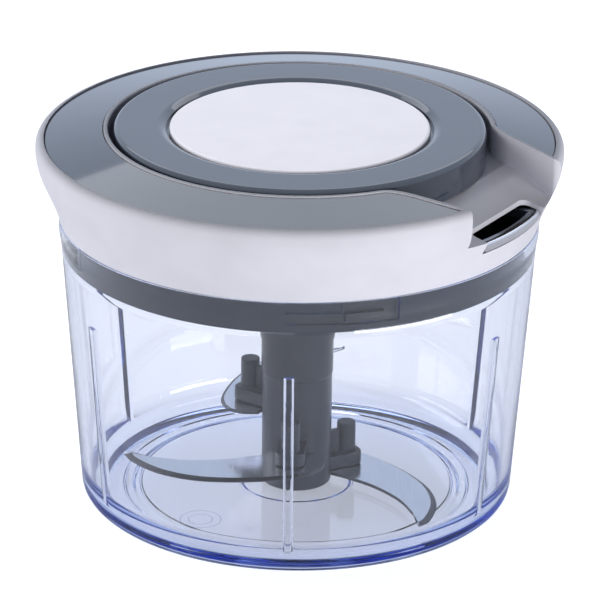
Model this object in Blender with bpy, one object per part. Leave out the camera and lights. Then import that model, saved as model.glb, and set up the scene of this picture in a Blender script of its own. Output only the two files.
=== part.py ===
"""Manual pull cord food chopper: a clear bowl, three blades on an upright shaft, and a cord-driven lid.

Metres, +Z up. The origin is the middle of the bowl's foot, the photograph's front is -Y and its right is +X.
Pieces about the middle axis are turned profiles of (radius, height). The pull handle, its tray and its cord
are drawn in a frame turned to the pull direction, as (along, across, height).
"""

import math

import bmesh
import bpy
from mathutils import Matrix, Vector

# Counts and tolerances shared by the whole model
LARGE_STEPS = 36
MIDDLE_STEPS = 20
SMALL_STEPS = 12
SCREW_STEPS = 8
SMOOTH_ANGLE = math.radians(35)
WELD = 0.000001
CLEAR = 0.0003
OVERRUN = 0.003
ROOT = 0.0006

# Bowl
BOWL_HEIGHT = 0.0851
BOWL_RIM_RADIUS = 0.0685
BOWL_RIM_THICKNESS = 0.0033
BOWL_RIM_BAND = 0.0041
BOWL_RIM_STEP = 0.0020
BOWL_NECK_STEP = 0.0005
BOWL_TAPER = 0.0063
BOWL_CORNER = 0.0043
BOWL_WALL = 0.0022
BOWL_FLOOR_TOP = 0.0023
BOWL_INNER_CORNER = 0.0040
BOWL_RIM_EDGE = 0.0004
FOOT_RING_WIDTH = 0.0142
FOOT_RING_HEIGHT = 0.0005
FOOT_RING_SLOPE = 0.0012
CENTRE_STEP_RADIUS = 0.0154
CENTRE_STEP_DEPTH = 0.0004
PIN_RADIUS = 0.0020
PIN_TOP = 0.0220
PIN_BASE = 0.0016
PIN_POINT = 0.0006
PIN_BOSS_RADIUS = 0.0046
PIN_BOSS_HEIGHT = 0.0040

# Ribs down the inside of the bowl
RIB_COUNT = 6
RIB_FIRST_ANGLE = math.radians(-92)
RIB_WIDTH = 0.0028
RIB_DEPTH = 0.0014
RIB_TOP_DROP = 0.0246
RIB_ROUND = 0.0030
RIB_SHOULDER_SHARE = 0.6
RIB_TOP_SHARES = ((1.0, 1.0), (0.33, 0.6), (0.0, 0.05))

# Bayonet: channels in the bowl's rim take lugs on the lid
BAYONET_COUNT = 4
CHANNEL_DROP = 0.0069
CHANNEL_HEIGHT = 0.0032
CHANNEL_DEPTH = 0.0014
CHANNEL_START = math.radians(-93.1)
CHANNEL_OVERLAP = math.radians(0.7)
ENTRANCE_START = math.radians(-79.7)
ENTRANCE_END = math.radians(-65.5)
LUG_START = math.radians(-78.8)
LUG_END = math.radians(-69.1)
LUG_CLEARANCE = 0.0004

# Lid base: the dark underside, whose skirt goes down into the rim
LID_FIT = 0.0005
SKIRT_THICKNESS = 0.0020
SKIRT_REACH = 0.0030
SKIRT_EDGE = 0.0004
PLATE_RISE = 0.0015
PLATE_THICKNESS = 0.0020
COLLAR_WALL = 0.0020
COLLAR_DROP = 0.0020
GUARD_WALL = 0.0018
GUARD_CLEARANCE = 0.0009
GUARD_DROP = 0.0076

# Seal
SEAL_CLEARANCE = 0.0004

# Cover: the white shell
COVER_WALL = 0.0020
RIM_FLARE = 0.0065
RIM_RISE = 0.0206
COVER_SIDE_SHARES = (
    (0.0, 0.0), (0.17, 0.15), (0.35, 0.37), (0.524, 0.615), (0.704, 0.855), (0.883, 0.985), (1.0, 1.0),
)
RIM_LIP = 0.0024
WELL_DEPTH = 0.0098
WELL_LIP = 0.0012
WELL_LIP_RISE = 0.0003
WELL_HOLE_RADIUS = 0.0064

# Inlay: the dark ring panel, higher at its inner edge
RIM_MARGIN = 0.0026
WELL_MARGIN = 0.0015
INLAY_LIFT = 0.0020
INLAY_RISE = 0.0030
INLAY_THICKNESS = 0.0012
INLAY_EDGE = 0.0003

# Gap in the flared rim, where fingers reach the handle
PULL_ANGLE = math.radians(-31.5)
GAP_OVERLAP = 0.0144
GAP_INNER_REACH = 0.0060
GAP_INNER_HALF_WIDTH = 0.0280
GAP_LENGTH = 0.0229
GAP_NARROWING = 0.0048
GAP_CORNER = 0.0050
GAP_CORNER_STEPS = 5
GAP_LIP = 0.0010
GAP_FLOOR_SETBACK = 0.0024
GAP_FLOOR_RUN = 0.0200
GAP_FLOOR_FALL = 0.0061
GAP_FLOOR_WALL = 0.0015
GAP_FLOOR_SHARES = ((0.0, 0.0), (0.2, 0.15), (0.4, 0.41), (0.6, 0.66), (0.8, 0.85), (1.0, 1.0))

# Spring cap and the disc in its middle
CAP_CLEARANCE = 0.0014
CAP_SETBACK = 0.0220
CAP_PROUD = 0.0010
CAP_SIDE = 0.0020
CAP_EDGE = 0.0008
CAP_RECESS_BEVEL = 0.0017
CAP_RECESS_CLEARANCE = 0.0004
CAP_RECESS_DEPTH = 0.0024
CAP_PLATE = 0.0020
DISC_RADIUS = 0.0373
DISC_SUNK = 0.0004
DISC_EDGE = 0.0007
DISC_POCKET_RADIUS = 0.0090
DISC_POCKET_DEPTH = 0.0009

# Fasteners
CAP_SCREW_COUNT = 3
CAP_SCREW_INSET = 0.0053
CAP_SCREW_FIRST_ANGLE = math.radians(90)
SCREW_RADIUS = 0.0011
SCREW_HEAD_RADIUS = 0.0026
SCREW_HEAD_HEIGHT = 0.0015
SCREW_DRIVE_RADIUS = 0.0011
SCREW_DRIVE_DEPTH = 0.0008
CAP_POST_RADIUS = 0.0034
CAP_POST_HEIGHT = 0.0030
CAP_SCREW_LENGTH = 0.0058
BASE_SCREW_COUNT = 4
BASE_SCREW_INSET = 0.0100
BASE_SCREW_FIRST_ANGLE = math.radians(20)
BASE_SCREW_LENGTH = 0.0110
BASE_BOSS_RADIUS = 0.0032
SCREW_HOLE_SPARE = 0.0010

# Cord reel, its spring and its pawls
AXLE_RADIUS = 0.0030
AXLE_HEAD_RADIUS = 0.0046
AXLE_HEAD_HEIGHT = 0.0006
AXLE_FOOT_RADIUS = 0.0042
AXLE_FOOT_HEIGHT = 0.0005
REEL_CLEARANCE = 0.0006
REEL_FLANGE_RADIUS = 0.0208
REEL_FLANGE = 0.0010
REEL_HEIGHT = 0.0084
REEL_DRUM_RADIUS = 0.0142
REEL_CAVITY_RADIUS = 0.0122
REEL_WEB = 0.0020
REEL_HUB_RADIUS = 0.0056
REEL_HUB_CLEARANCE = 0.0012
CORD_RADIUS = 0.0006
WINDING_TURNS = 3
WINDING_LAYERS_DEPTH = 0.0040
SPRING_THICKNESS = 0.0005
SPRING_PITCH = 0.0036
SPRING_TURNS = 4
SPRING_STEPS = 10
SPRING_HEIGHT = 0.0034
SPRING_POST_RADIUS = 0.0014
PAWL_COUNT = 2
PAWL_PIVOT_RADIUS = 0.0097
PAWL_PIN_RADIUS = 0.0008
PAWL_HEEL_RADIUS = 0.0018
PAWL_REACH = 0.0046
PAWL_TIP_INSET = 0.0040
PAWL_TIP_WIDTH = 0.0009
PAWL_HEIGHT = 0.0036

# Drive hub: a ratchet wheel over the bearing, and a spindle with dogs below it
WHEEL_RADIUS = 0.0066
WHEEL_ROOT_RADIUS = 0.0054
WHEEL_TEETH = 10
WHEEL_HEIGHT = 0.0042
SPINDLE_RADIUS = 0.0050
SPINDLE_CORE_RADIUS = 0.0036
SPINDLE_DROP = 0.0166
DOG_HEIGHT = 0.0090
DOG_COUNT = 2
DOG_HALF_ANGLE = math.radians(15)
BUSH_WALL = 0.0020
CLIP_HEIGHT = 0.0010
CLIP_SHOULDER = 0.0010
CLIP_SEAT_RADIUS = 0.0040
CLIP_RADIUS = 0.0070

# Blade shaft
SHAFT_RADIUS = 0.0101
SHAFT_UPPER_RADIUS = 0.0104
SHAFT_STEP_HEIGHT = 0.0370
SHAFT_TOP_CLEARANCE = 0.0051
SHAFT_FOOT_CHAMFER = 0.0008
SOCKET_SPARE = 0.0040
KEY_INNER_RADIUS = 0.0041
FOOT_BUSH_HEIGHT = 0.0080
FOOT_BUSH_WALL = 0.0023

# Blades and the ledges that carry them
BLADE_ANGLES = {
    "lower": math.radians(27),
    "middle": math.radians(-96),
    "upper": math.radians(147),
}
LOWER_BLADE_HEIGHT = 0.0036
MIDDLE_BLADE_HEIGHT = 0.0134
UPPER_BLADE_HEIGHT = 0.0229
BLADE_HEIGHTS = {"lower": LOWER_BLADE_HEIGHT, "middle": MIDDLE_BLADE_HEIGHT, "upper": UPPER_BLADE_HEIGHT}
BLADE_THICKNESS = 0.0010
BLADE_REACH = 0.0505
BLADE_GRIND_SHARE = 0.93
BLADE_CURVE_STEPS = 3
BLADE_EDGE_SHARES = (
    (0.178, 0.139), (0.277, 0.192), (0.376, 0.178), (0.475, 0.079), (0.554, -0.119), (0.594, -0.337),
    (0.588, -0.545), (0.515, -0.743), (0.384, -0.900), (0.287, -0.960),
)
BLADE_BACK_SHARES = ((0.337, -0.792), (0.356, -0.594), (0.317, -0.376), (0.238, -0.198), (0.178, -0.099))
LEDGE_REACH = 0.0200
LEDGE_HALF_WIDTH = 0.0042
LEDGE_CHAMFER = 0.0022
LEDGE_HEIGHT = 0.0040
POST_CIRCLE_RADIUS = 0.0163
POST_RADIUS = 0.00275
POST_HEIGHT = 0.0086
POST_EDGE = 0.0004
WEB_THICKNESS = 0.0016
WEB_HEIGHT = 0.0066
STUD_RADIUS = 0.0012
STUD_DROP = 0.0003
SLOT_DEPTH_RADIUS = 0.0084

# Pull handle, its tray and its cord
HANDLE_DROP = 0.0093
HANDLE_THICKNESS = 0.0026
HANDLE_HALF_WIDTH = 0.0155
HANDLE_LENGTH = 0.0219
HANDLE_BAR = 0.0045
HANDLE_SIDE = 0.0024
HANDLE_FRONT_BAR = 0.0013
HANDLE_CORNER_SHARE = 0.25
TRIM_INSET = 0.0036
TRIM_DEPTH = 0.0012
TRIM_END_INSET = 0.0006
NOTCH_DEPTH = 0.0108
NOTCH_CLEARANCE = 0.0004
NOTCH_CORNER = 0.0030
NOTCH_CORNER_STEPS = 4
ARC_STEPS = 8
TRAY_BACK_MARGIN = 0.0010
TRAY_WALL = 0.0012
TRAY_WALL_RISE = 0.0018
TRAY_FRONT_INSET = 0.0084
POCKET_FLOOR_WALL = 0.0008
POCKET_FRONT_WALL = 0.0032
GUIDE_WALL_GAP = 0.0055
GUIDE_WALL_THICKNESS = 0.0020
GUIDE_WALL_HALF_WIDTH = 0.0050
GUIDE_WALL_RISE = 0.0017
GUIDE_FLANGE_RADIUS = 0.0024
GUIDE_FLANGE = 0.0007
GUIDE_SLEEVE_WALL = 0.0006
KNOT_RADIUS = 0.0012
CORD_LEAVES_ALONG = 0.0080
CORD_LEAVES_ACROSS = 0.0180
CORD_ROUTE_SHARES = (
    (0.0, 1.0), (0.103, 0.894), (0.310, 0.672), (0.517, 0.450), (0.672, 0.283),
    (0.775, 0.172), (0.840, 0.094), (0.891, 0.033), (0.920, 0.0), (1.0, 0.0),
)

# Sizes that follow from the ones above: bowl
BOWL_RIM_INNER_RADIUS = BOWL_RIM_RADIUS - BOWL_RIM_THICKNESS
BOWL_NECK_RADIUS = BOWL_RIM_RADIUS - BOWL_NECK_STEP
BOWL_FOOT_RADIUS = BOWL_RIM_RADIUS - BOWL_TAPER
FOOT_RING_INNER_RADIUS = BOWL_FOOT_RADIUS - FOOT_RING_WIDTH
RIB_TOP = BOWL_HEIGHT - RIB_TOP_DROP
CHANNEL_FLOOR = BOWL_HEIGHT - CHANNEL_DROP

# Sizes that follow: lid
SKIRT_RADIUS = BOWL_RIM_INNER_RADIUS - LID_FIT
SKIRT_BOTTOM = CHANNEL_FLOOR - SKIRT_REACH
PLATE_BOTTOM = BOWL_HEIGHT + PLATE_RISE
PLATE_TOP = PLATE_BOTTOM + PLATE_THICKNESS
COVER_BOTTOM = BOWL_HEIGHT + CLEAR
COVER_BOTTOM_RADIUS = BOWL_RIM_RADIUS
RIM_RADIUS = BOWL_RIM_RADIUS + RIM_FLARE
RIM_HEIGHT = COVER_BOTTOM + RIM_RISE
CAP_RADIUS = RIM_RADIUS - CAP_SETBACK
WELL_RADIUS = CAP_RADIUS + CAP_CLEARANCE
INLAY_OUTER_RADIUS = RIM_RADIUS - RIM_MARGIN
INLAY_INNER_RADIUS = WELL_RADIUS + WELL_MARGIN
INLAY_OUTER_HEIGHT = RIM_HEIGHT + INLAY_LIFT
INLAY_INNER_HEIGHT = INLAY_OUTER_HEIGHT + INLAY_RISE
CAP_TOP = INLAY_INNER_HEIGHT + CAP_PROUD
WELL_FLOOR = CAP_TOP - WELL_DEPTH
CAP_RECESS_FLOOR = CAP_TOP - CAP_RECESS_DEPTH
DISC_TOP = CAP_TOP - DISC_SUNK
CAP_RECESS_RADIUS = DISC_RADIUS + CAP_RECESS_CLEARANCE
CAP_INNER_EDGE_RADIUS = CAP_RECESS_RADIUS + CAP_RECESS_BEVEL
CAP_SCREW_CIRCLE_RADIUS = DISC_RADIUS - CAP_SCREW_INSET
BASE_SCREW_CIRCLE_RADIUS = COVER_BOTTOM_RADIUS - BASE_SCREW_INSET
GAP_START = WELL_RADIUS - GAP_OVERLAP
GAP_INNER_ALONG = WELL_RADIUS - GAP_INNER_REACH
GAP_OUTER_ALONG = GAP_INNER_ALONG + GAP_LENGTH
GAP_OUTER_HALF_WIDTH = GAP_INNER_HALF_WIDTH - GAP_NARROWING
GAP_FLOOR_STARTS = WELL_RADIUS - GAP_FLOOR_SETBACK
GAP_FLOOR_ENDS = GAP_FLOOR_STARTS + GAP_FLOOR_RUN

# Sizes that follow: drive, reel, handle and cord
REEL_BOTTOM = PLATE_TOP + REEL_CLEARANCE
REEL_HUB_TOP = CAP_RECESS_FLOOR - CAP_PLATE - REEL_HUB_CLEARANCE
SPINDLE_BOTTOM = PLATE_BOTTOM - SPINDLE_DROP
DOG_TOP = SPINDLE_BOTTOM + DOG_HEIGHT
SHAFT_TOP = PLATE_BOTTOM - SHAFT_TOP_CLEARANCE
SOCKET_BOTTOM = SPINDLE_BOTTOM - SOCKET_SPARE
HANDLE_BOTTOM = WELL_FLOOR - HANDLE_DROP
HANDLE_TOP = HANDLE_BOTTOM + HANDLE_THICKNESS
TRIM_RADIUS = RIM_RADIUS - TRIM_INSET
HANDLE_BACK = TRIM_RADIUS - HANDLE_LENGTH
NOTCH_START = RIM_RADIUS - NOTCH_DEPTH
TRAY_START = HANDLE_BACK - TRAY_BACK_MARGIN
TRAY_FRONT_RADIUS = RIM_RADIUS - TRAY_FRONT_INSET
POCKET_FLOOR = PLATE_TOP + POCKET_FLOOR_WALL
GUIDE_WALL_START = HANDLE_BACK - GUIDE_WALL_GAP
GUIDE_WALL_TOP = HANDLE_TOP + GUIDE_WALL_RISE
CORD_HEIGHT = HANDLE_BOTTOM + HANDLE_THICKNESS / 2
SILL_TOP = HANDLE_BOTTOM - CLEAR
CAP_SCREW_SEAT = CAP_RECESS_FLOOR - CLEAR - SCREW_HEAD_HEIGHT
GUIDE_BORE = CORD_RADIUS + CLEAR
BEARING_RADIUS = SPINDLE_RADIUS + CLEAR
COLLAR_RADIUS = BEARING_RADIUS + BUSH_WALL + CLEAR
SOCKET_RADIUS = SPINDLE_RADIUS + LUG_CLEARANCE
FOOT_BORE = PIN_RADIUS + CLEAR + FOOT_BUSH_WALL + CLEAR

CLEAR_ALPHA = 0.35
COLOURS = {
    "clear": ((0.80, 0.85, 0.95), 0.05, 0.0),
    "white": ((0.80, 0.79, 0.82), 0.35, 0.0),
    "dark": ((0.075, 0.085, 0.105), 0.25, 0.0),
    "gloss": ((0.065, 0.075, 0.095), 0.10, 0.0),
    "steel": ((0.62, 0.62, 0.63), 0.28, 1.0),
    "silver": ((0.66, 0.66, 0.68), 0.22, 1.0),
    "rubber": ((0.12, 0.12, 0.13), 0.70, 0.0),
    "nylon": ((0.70, 0.70, 0.66), 0.55, 0.0),
    "cord": ((0.75, 0.75, 0.73), 0.85, 0.0),
}


def clear_scene():
    """Removes every object, so that only the chopper is left."""
    for leftover in list(bpy.data.objects):
        bpy.data.objects.remove(leftover, do_unlink=True)


def finish(name):
    """The Principled material of that colour, made once."""
    found = bpy.data.materials.get(name)
    if found:
        return found
    colour, roughness, metallic = COLOURS[name]
    made = bpy.data.materials.new(name)
    made.use_nodes = True
    shader = made.node_tree.nodes["Principled BSDF"]
    shader.inputs["Base Color"].default_value = (*colour, 1.0)
    shader.inputs["Roughness"].default_value = roughness
    shader.inputs["Metallic"].default_value = metallic
    if name == "clear":
        shader.inputs["Alpha"].default_value = CLEAR_ALPHA
    return made


def piece(name, shape, look, parent=None):
    """A visible object made from a mesh under construction, carried by its parent empty."""
    mesh = bpy.data.meshes.new(name)
    shape.to_mesh(mesh)
    shape.free()
    mesh.shade_smooth()
    mesh.set_sharp_from_angle(angle=SMOOTH_ANGLE)
    made = bpy.data.objects.new(name, mesh)
    made.data.materials.append(finish(look))
    bpy.context.scene.collection.objects.link(made)
    made.parent = parent
    return made


def helper(name, shape, parent=None):
    """A hidden object that cuts others or is joined to them."""
    mesh = bpy.data.meshes.new(name)
    shape.to_mesh(mesh)
    shape.free()
    made = bpy.data.objects.new(name, mesh)
    bpy.context.scene.collection.objects.link(made)
    made.hide_render = True
    made.display_type = "WIRE"
    made.parent = parent
    return made


def boolean(target, tool, operation="DIFFERENCE"):
    """Adds an exact Boolean to the target."""
    modifier = target.modifiers.new(tool.name, "BOOLEAN")
    modifier.operation = operation
    modifier.solver = "EXACT"
    modifier.object = tool


def empty(name, parent=None, place=(0.0, 0.0, 0.0), turn=0.0):
    """An empty that stands for a joint or a turned frame."""
    made = bpy.data.objects.new(name, None)
    bpy.context.scene.collection.objects.link(made)
    made.parent = parent
    made.location = place
    made.rotation_euler = (0.0, 0.0, turn)
    return made


def revolved(profile, steps):
    """Turns an outline of (radius, height) once about Z. One that ends on the axis is left open there."""
    shape = bmesh.new()
    points = [shape.verts.new((radius, 0.0, height)) for radius, height in profile]
    edges = [shape.edges.new(pair) for pair in zip(points, points[1:])]
    if profile[0][0] > 0 or profile[-1][0] > 0:
        edges.append(shape.edges.new((points[-1], points[0])))
    geometry = points + edges
    bmesh.ops.spin(
        shape, geom=geometry, cent=(0, 0, 0), axis=(0, 0, 1), angle=math.tau, steps=steps, use_merge=True
    )
    bmesh.ops.remove_doubles(shape, verts=shape.verts, dist=WELD)
    bmesh.ops.recalc_face_normals(shape, faces=shape.faces)
    return shape


def lofted(sections):
    """Joins loops of equally many points into one solid, capped at both ends."""
    shape = bmesh.new()
    loops = [[shape.verts.new(point) for point in section] for section in sections]
    for first, second in zip(loops, loops[1:]):
        for index, corner in enumerate(first):
            previous = index - 1
            shape.faces.new((first[previous], corner, second[index], second[previous]))
    shape.faces.new(loops[0])
    shape.faces.new(loops[-1])
    bmesh.ops.recalc_face_normals(shape, faces=shape.faces)
    return shape


def prism(outline, bottom, top):
    """An upright solid over a flat outline."""
    return lofted([[(x, y, height) for x, y in outline] for height in (bottom, top)])


def rod(radius, bottom, top, steps=SMALL_STEPS, centre=(0.0, 0.0)):
    """An upright cylinder."""
    outline = [(centre[0] + x, centre[1] + y) for x, y in circle(radius, steps)]
    return prism(outline, bottom, top)


def merged(shapes):
    """One mesh that holds several separate shapes."""
    whole = bmesh.new()
    for shape in shapes:
        mesh = bpy.data.meshes.new("step")
        shape.to_mesh(mesh)
        shape.free()
        whole.from_mesh(mesh)
        bpy.data.meshes.remove(mesh)
    return whole


def turned(shape, angle):
    """The shape, turned about Z."""
    bmesh.ops.rotate(shape, verts=shape.verts, cent=(0, 0, 0), matrix=Matrix.Rotation(angle, 3, "Z"))
    return shape


def repeated(build, count, first=0.0):
    """Equal copies of a shape, spread evenly about Z."""
    return merged([turned(build(), first + index * math.tau / count) for index in range(count)])


def circle(radius, steps, start=0.0):
    """Points round a full circle."""
    return [polar(radius, start + index * math.tau / steps) for index in range(steps)]


def polar(radius, angle):
    """The point at that radius and angle."""
    return (radius * math.cos(angle), radius * math.sin(angle))


def arc(centre, radius, start, end, steps):
    """Points along part of a circle, both ends included."""
    angles = [start + (end - start) * index / steps for index in range(steps + 1)]
    return [(centre[0] + radius * math.cos(angle), centre[1] + radius * math.sin(angle)) for angle in angles]


def sector(inner, outer, start, end, bottom, top, steps=3):
    """Part of a ring, between two angles and two heights."""
    outline = arc((0.0, 0.0), outer, start, end, steps) + arc((0.0, 0.0), inner, end, start, steps)
    return prism(outline, bottom, top)


def spline(points, steps):
    """A smooth curve through the points, as a list of points, by the Catmull-Rom rule."""
    padded = [Vector(points[0]), *map(Vector, points), Vector(points[-1])]
    found = []
    for before, start, end, after in zip(padded, padded[1:], padded[2:], padded[3:]):
        for index in range(steps):
            t = index / steps
            bend = 2 * start + (end - before) * t
            bend += (2 * before - 5 * start + 4 * end - after) * t**2
            bend += (3 * start - before - 3 * end + after) * t**3
            found.append(bend / 2)
    found.append(padded[-1])
    return found


def bowl_outer_radius(height):
    """Outer radius of the bowl's sloping wall."""
    share = (height - BOWL_CORNER) / (BOWL_HEIGHT - BOWL_RIM_BAND - BOWL_RIM_STEP - BOWL_CORNER)
    return BOWL_FOOT_RADIUS + (BOWL_NECK_RADIUS - BOWL_FOOT_RADIUS) * share


def bowl_inner_radius(height):
    """Inner radius of the bowl's sloping wall."""
    return bowl_outer_radius(height) - BOWL_WALL


def bowl_profile():
    """Outline of the bowl: under the foot, up the outside, over the rim, down the inside, over the boss."""
    corner = (BOWL_FOOT_RADIUS - BOWL_CORNER, BOWL_CORNER)
    inner_corner_height = BOWL_FLOOR_TOP + BOWL_INNER_CORNER
    inner_corner = (bowl_inner_radius(inner_corner_height) - BOWL_INNER_CORNER, inner_corner_height)
    neck = BOWL_HEIGHT - BOWL_RIM_BAND - BOWL_RIM_STEP
    band_bottom = CHANNEL_FLOOR - BOWL_RIM_STEP
    blend_bottom = band_bottom - BOWL_RIM_STEP
    hole = PIN_RADIUS + CLEAR
    return [
        (0.0, FOOT_RING_HEIGHT + CENTRE_STEP_DEPTH),
        (CENTRE_STEP_RADIUS, FOOT_RING_HEIGHT + CENTRE_STEP_DEPTH),
        (CENTRE_STEP_RADIUS + CENTRE_STEP_DEPTH, FOOT_RING_HEIGHT),
        (FOOT_RING_INNER_RADIUS - FOOT_RING_SLOPE, FOOT_RING_HEIGHT),
        (FOOT_RING_INNER_RADIUS, 0.0),
        *arc(corner, BOWL_CORNER, -math.pi / 2, 0.0, 4),
        (BOWL_NECK_RADIUS, neck),
        (BOWL_RIM_RADIUS, neck + BOWL_RIM_STEP),
        (BOWL_RIM_RADIUS, BOWL_HEIGHT - BOWL_RIM_EDGE),
        (BOWL_RIM_RADIUS - BOWL_RIM_EDGE, BOWL_HEIGHT),
        (BOWL_RIM_INNER_RADIUS + BOWL_RIM_EDGE, BOWL_HEIGHT),
        (BOWL_RIM_INNER_RADIUS, BOWL_HEIGHT - BOWL_RIM_EDGE),
        (BOWL_RIM_INNER_RADIUS, band_bottom),
        (bowl_inner_radius(blend_bottom), blend_bottom),
        *arc(inner_corner, BOWL_INNER_CORNER, 0.0, -math.pi / 2, 3),
        (PIN_BOSS_RADIUS, BOWL_FLOOR_TOP),
        (PIN_BOSS_RADIUS, BOWL_FLOOR_TOP + PIN_BOSS_HEIGHT),
        (hole, BOWL_FLOOR_TOP + PIN_BOSS_HEIGHT),
        (hole, PIN_BASE),
        (0.0, PIN_BASE),
    ]


def rib():
    """One rib down the inside wall, at angle zero, rounded off at its top."""
    stations = [(BOWL_FLOOR_TOP - ROOT, 1.0)]
    stations += [(RIB_TOP - RIB_ROUND * drop, depth) for drop, depth in RIB_TOP_SHARES]
    sections = []
    for height, share in stations:
        wall = bowl_inner_radius(height)
        half = RIB_WIDTH / 2
        crown = wall - RIB_DEPTH * share
        shoulder = wall - RIB_DEPTH * share * RIB_SHOULDER_SHARE
        section = ((wall + ROOT, -half), (shoulder, -half), (crown, -half / 2), (crown, half / 2))
        section += ((shoulder, half), (wall + ROOT, half))
        sections.append([(x, y, height) for x, y in section])
    return lofted(sections)


def build_bowl():
    """Clear bowl with its ribs and bayonet channels, and the pin in its floor."""
    bowl = piece("bowl", revolved(bowl_profile(), LARGE_STEPS), "clear")
    ribs = helper("bowl_ribs", repeated(rib, RIB_COUNT, RIB_FIRST_ANGLE))
    boolean(bowl, ribs, "UNION")
    depth = BOWL_RIM_INNER_RADIUS + CHANNEL_DEPTH
    mouth = BOWL_RIM_INNER_RADIUS - OVERRUN

    def channel():
        top = CHANNEL_FLOOR + CHANNEL_HEIGHT
        return sector(mouth, depth, CHANNEL_START, ENTRANCE_START + CHANNEL_OVERLAP, CHANNEL_FLOOR, top)

    def entrance():
        bottom = CHANNEL_FLOOR - CLEAR
        return sector(mouth, depth + CLEAR, ENTRANCE_START, ENTRANCE_END, bottom, BOWL_HEIGHT + OVERRUN)

    boolean(bowl, helper("bowl_channels", repeated(channel, BAYONET_COUNT)))
    boolean(bowl, helper("bowl_entrances", repeated(entrance, BAYONET_COUNT)))
    profile = [
        (0.0, PIN_BASE + CLEAR),
        (PIN_RADIUS, PIN_BASE + CLEAR),
        (PIN_RADIUS, PIN_TOP - PIN_POINT),
        (PIN_RADIUS - PIN_POINT, PIN_TOP),
        (0.0, PIN_TOP),
    ]
    piece("pivot_pin", revolved(profile, SMALL_STEPS), "steel")


def blade_outline(grind=1.0):
    """Outline of a blade as (along, across): the convex cutting edge, then the concave back."""
    edge = spline(BLADE_EDGE_SHARES, BLADE_CURVE_STEPS)
    back = spline(BLADE_BACK_SHARES, 2)
    root = BLADE_EDGE_SHARES[0][0]
    ground = []
    for index, point in enumerate(edge):
        inset = 1.0 if index in (0, len(edge) - 1) else grind
        ground.append((root + (point.x - root) * inset, point.y * (1.0 + inset) / 2))
    return [(x * BLADE_REACH, y * BLADE_REACH) for x, y in ground + [tuple(point) for point in back]]


def blade(parent, name):
    """One curved blade, ground thin towards its convex edge, with the hole that its stud goes through."""
    bottom = BLADE_HEIGHTS[name]
    sharp = [(x, y, bottom) for x, y in blade_outline()]
    middle = [(x, y, bottom + BLADE_THICKNESS / 4) for x, y in blade_outline()]
    flat = [(x, y, bottom + BLADE_THICKNESS) for x, y in blade_outline(BLADE_GRIND_SHARE)]
    made = piece(name + "_blade", turned(lofted([sharp, middle, flat]), BLADE_ANGLES[name]), "steel", parent)
    place = polar(POST_CIRCLE_RADIUS, BLADE_ANGLES[name])
    hole = rod(STUD_RADIUS + CLEAR, bottom - OVERRUN, bottom + BLADE_THICKNESS + OVERRUN, SMALL_STEPS, place)
    boolean(made, helper(name + "_blade_hole", hole, parent))


def ledge(name):
    """The block that a blade lies under, with its post, the web to the shaft and the blade's stud."""
    bottom = BLADE_HEIGHTS[name] + BLADE_THICKNESS + CLEAR
    top = bottom + LEDGE_HEIGHT
    root = SLOT_DEPTH_RADIUS
    outline = [
        (root, -LEDGE_HALF_WIDTH),
        (LEDGE_REACH - LEDGE_CHAMFER, -LEDGE_HALF_WIDTH),
        (LEDGE_REACH, -LEDGE_HALF_WIDTH + LEDGE_CHAMFER),
        (LEDGE_REACH, LEDGE_HALF_WIDTH - LEDGE_CHAMFER),
        (LEDGE_REACH - LEDGE_CHAMFER, LEDGE_HALF_WIDTH),
        (root, LEDGE_HALF_WIDTH),
    ]
    block = prism(outline, bottom, top)
    profile = [
        (0.0, top - ROOT),
        (POST_RADIUS, top - ROOT),
        (POST_RADIUS, top + POST_HEIGHT - POST_EDGE),
        (POST_RADIUS - POST_EDGE, top + POST_HEIGHT),
        (0.0, top + POST_HEIGHT),
    ]
    post = revolved(profile, SMALL_STEPS)
    bmesh.ops.translate(post, verts=post.verts, vec=(POST_CIRCLE_RADIUS, 0.0, 0.0))
    half = WEB_THICKNESS / 2
    web_outline = [(root, -half), (POST_CIRCLE_RADIUS, -half), (POST_CIRCLE_RADIUS, half), (root, half)]
    web = prism(web_outline, top - ROOT, top + WEB_HEIGHT)
    stud_end = bottom - CLEAR - BLADE_THICKNESS - STUD_DROP
    stud = rod(STUD_RADIUS, stud_end, bottom + ROOT, SMALL_STEPS, (POST_CIRCLE_RADIUS, 0.0))
    return [turned(shape, BLADE_ANGLES[name]) for shape in (block, post, web, stud)]


def shaft_profile():
    """Outline of the blade shaft: foot bore, outer face with its step, and the drive socket in its top."""
    foot = BOWL_FLOOR_TOP + CLEAR
    bush_top = BOWL_FLOOR_TOP + PIN_BOSS_HEIGHT + CLEAR + FOOT_BUSH_HEIGHT + CLEAR
    pin_room = PIN_RADIUS + CLEAR + CLEAR
    pin_end = PIN_TOP + CLEAR
    return [
        (0.0, SOCKET_BOTTOM),
        (SOCKET_RADIUS, SOCKET_BOTTOM),
        (SOCKET_RADIUS, SHAFT_TOP),
        (SHAFT_UPPER_RADIUS, SHAFT_TOP),
        (SHAFT_UPPER_RADIUS, SHAFT_STEP_HEIGHT),
        (SHAFT_RADIUS, SHAFT_STEP_HEIGHT - CLEAR),
        (SHAFT_RADIUS, foot + SHAFT_FOOT_CHAMFER),
        (SHAFT_RADIUS - SHAFT_FOOT_CHAMFER, foot),
        (FOOT_BORE, foot),
        (FOOT_BORE, bush_top),
        (pin_room, bush_top),
        (pin_room, pin_end),
        (0.0, pin_end),
    ]


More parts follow.
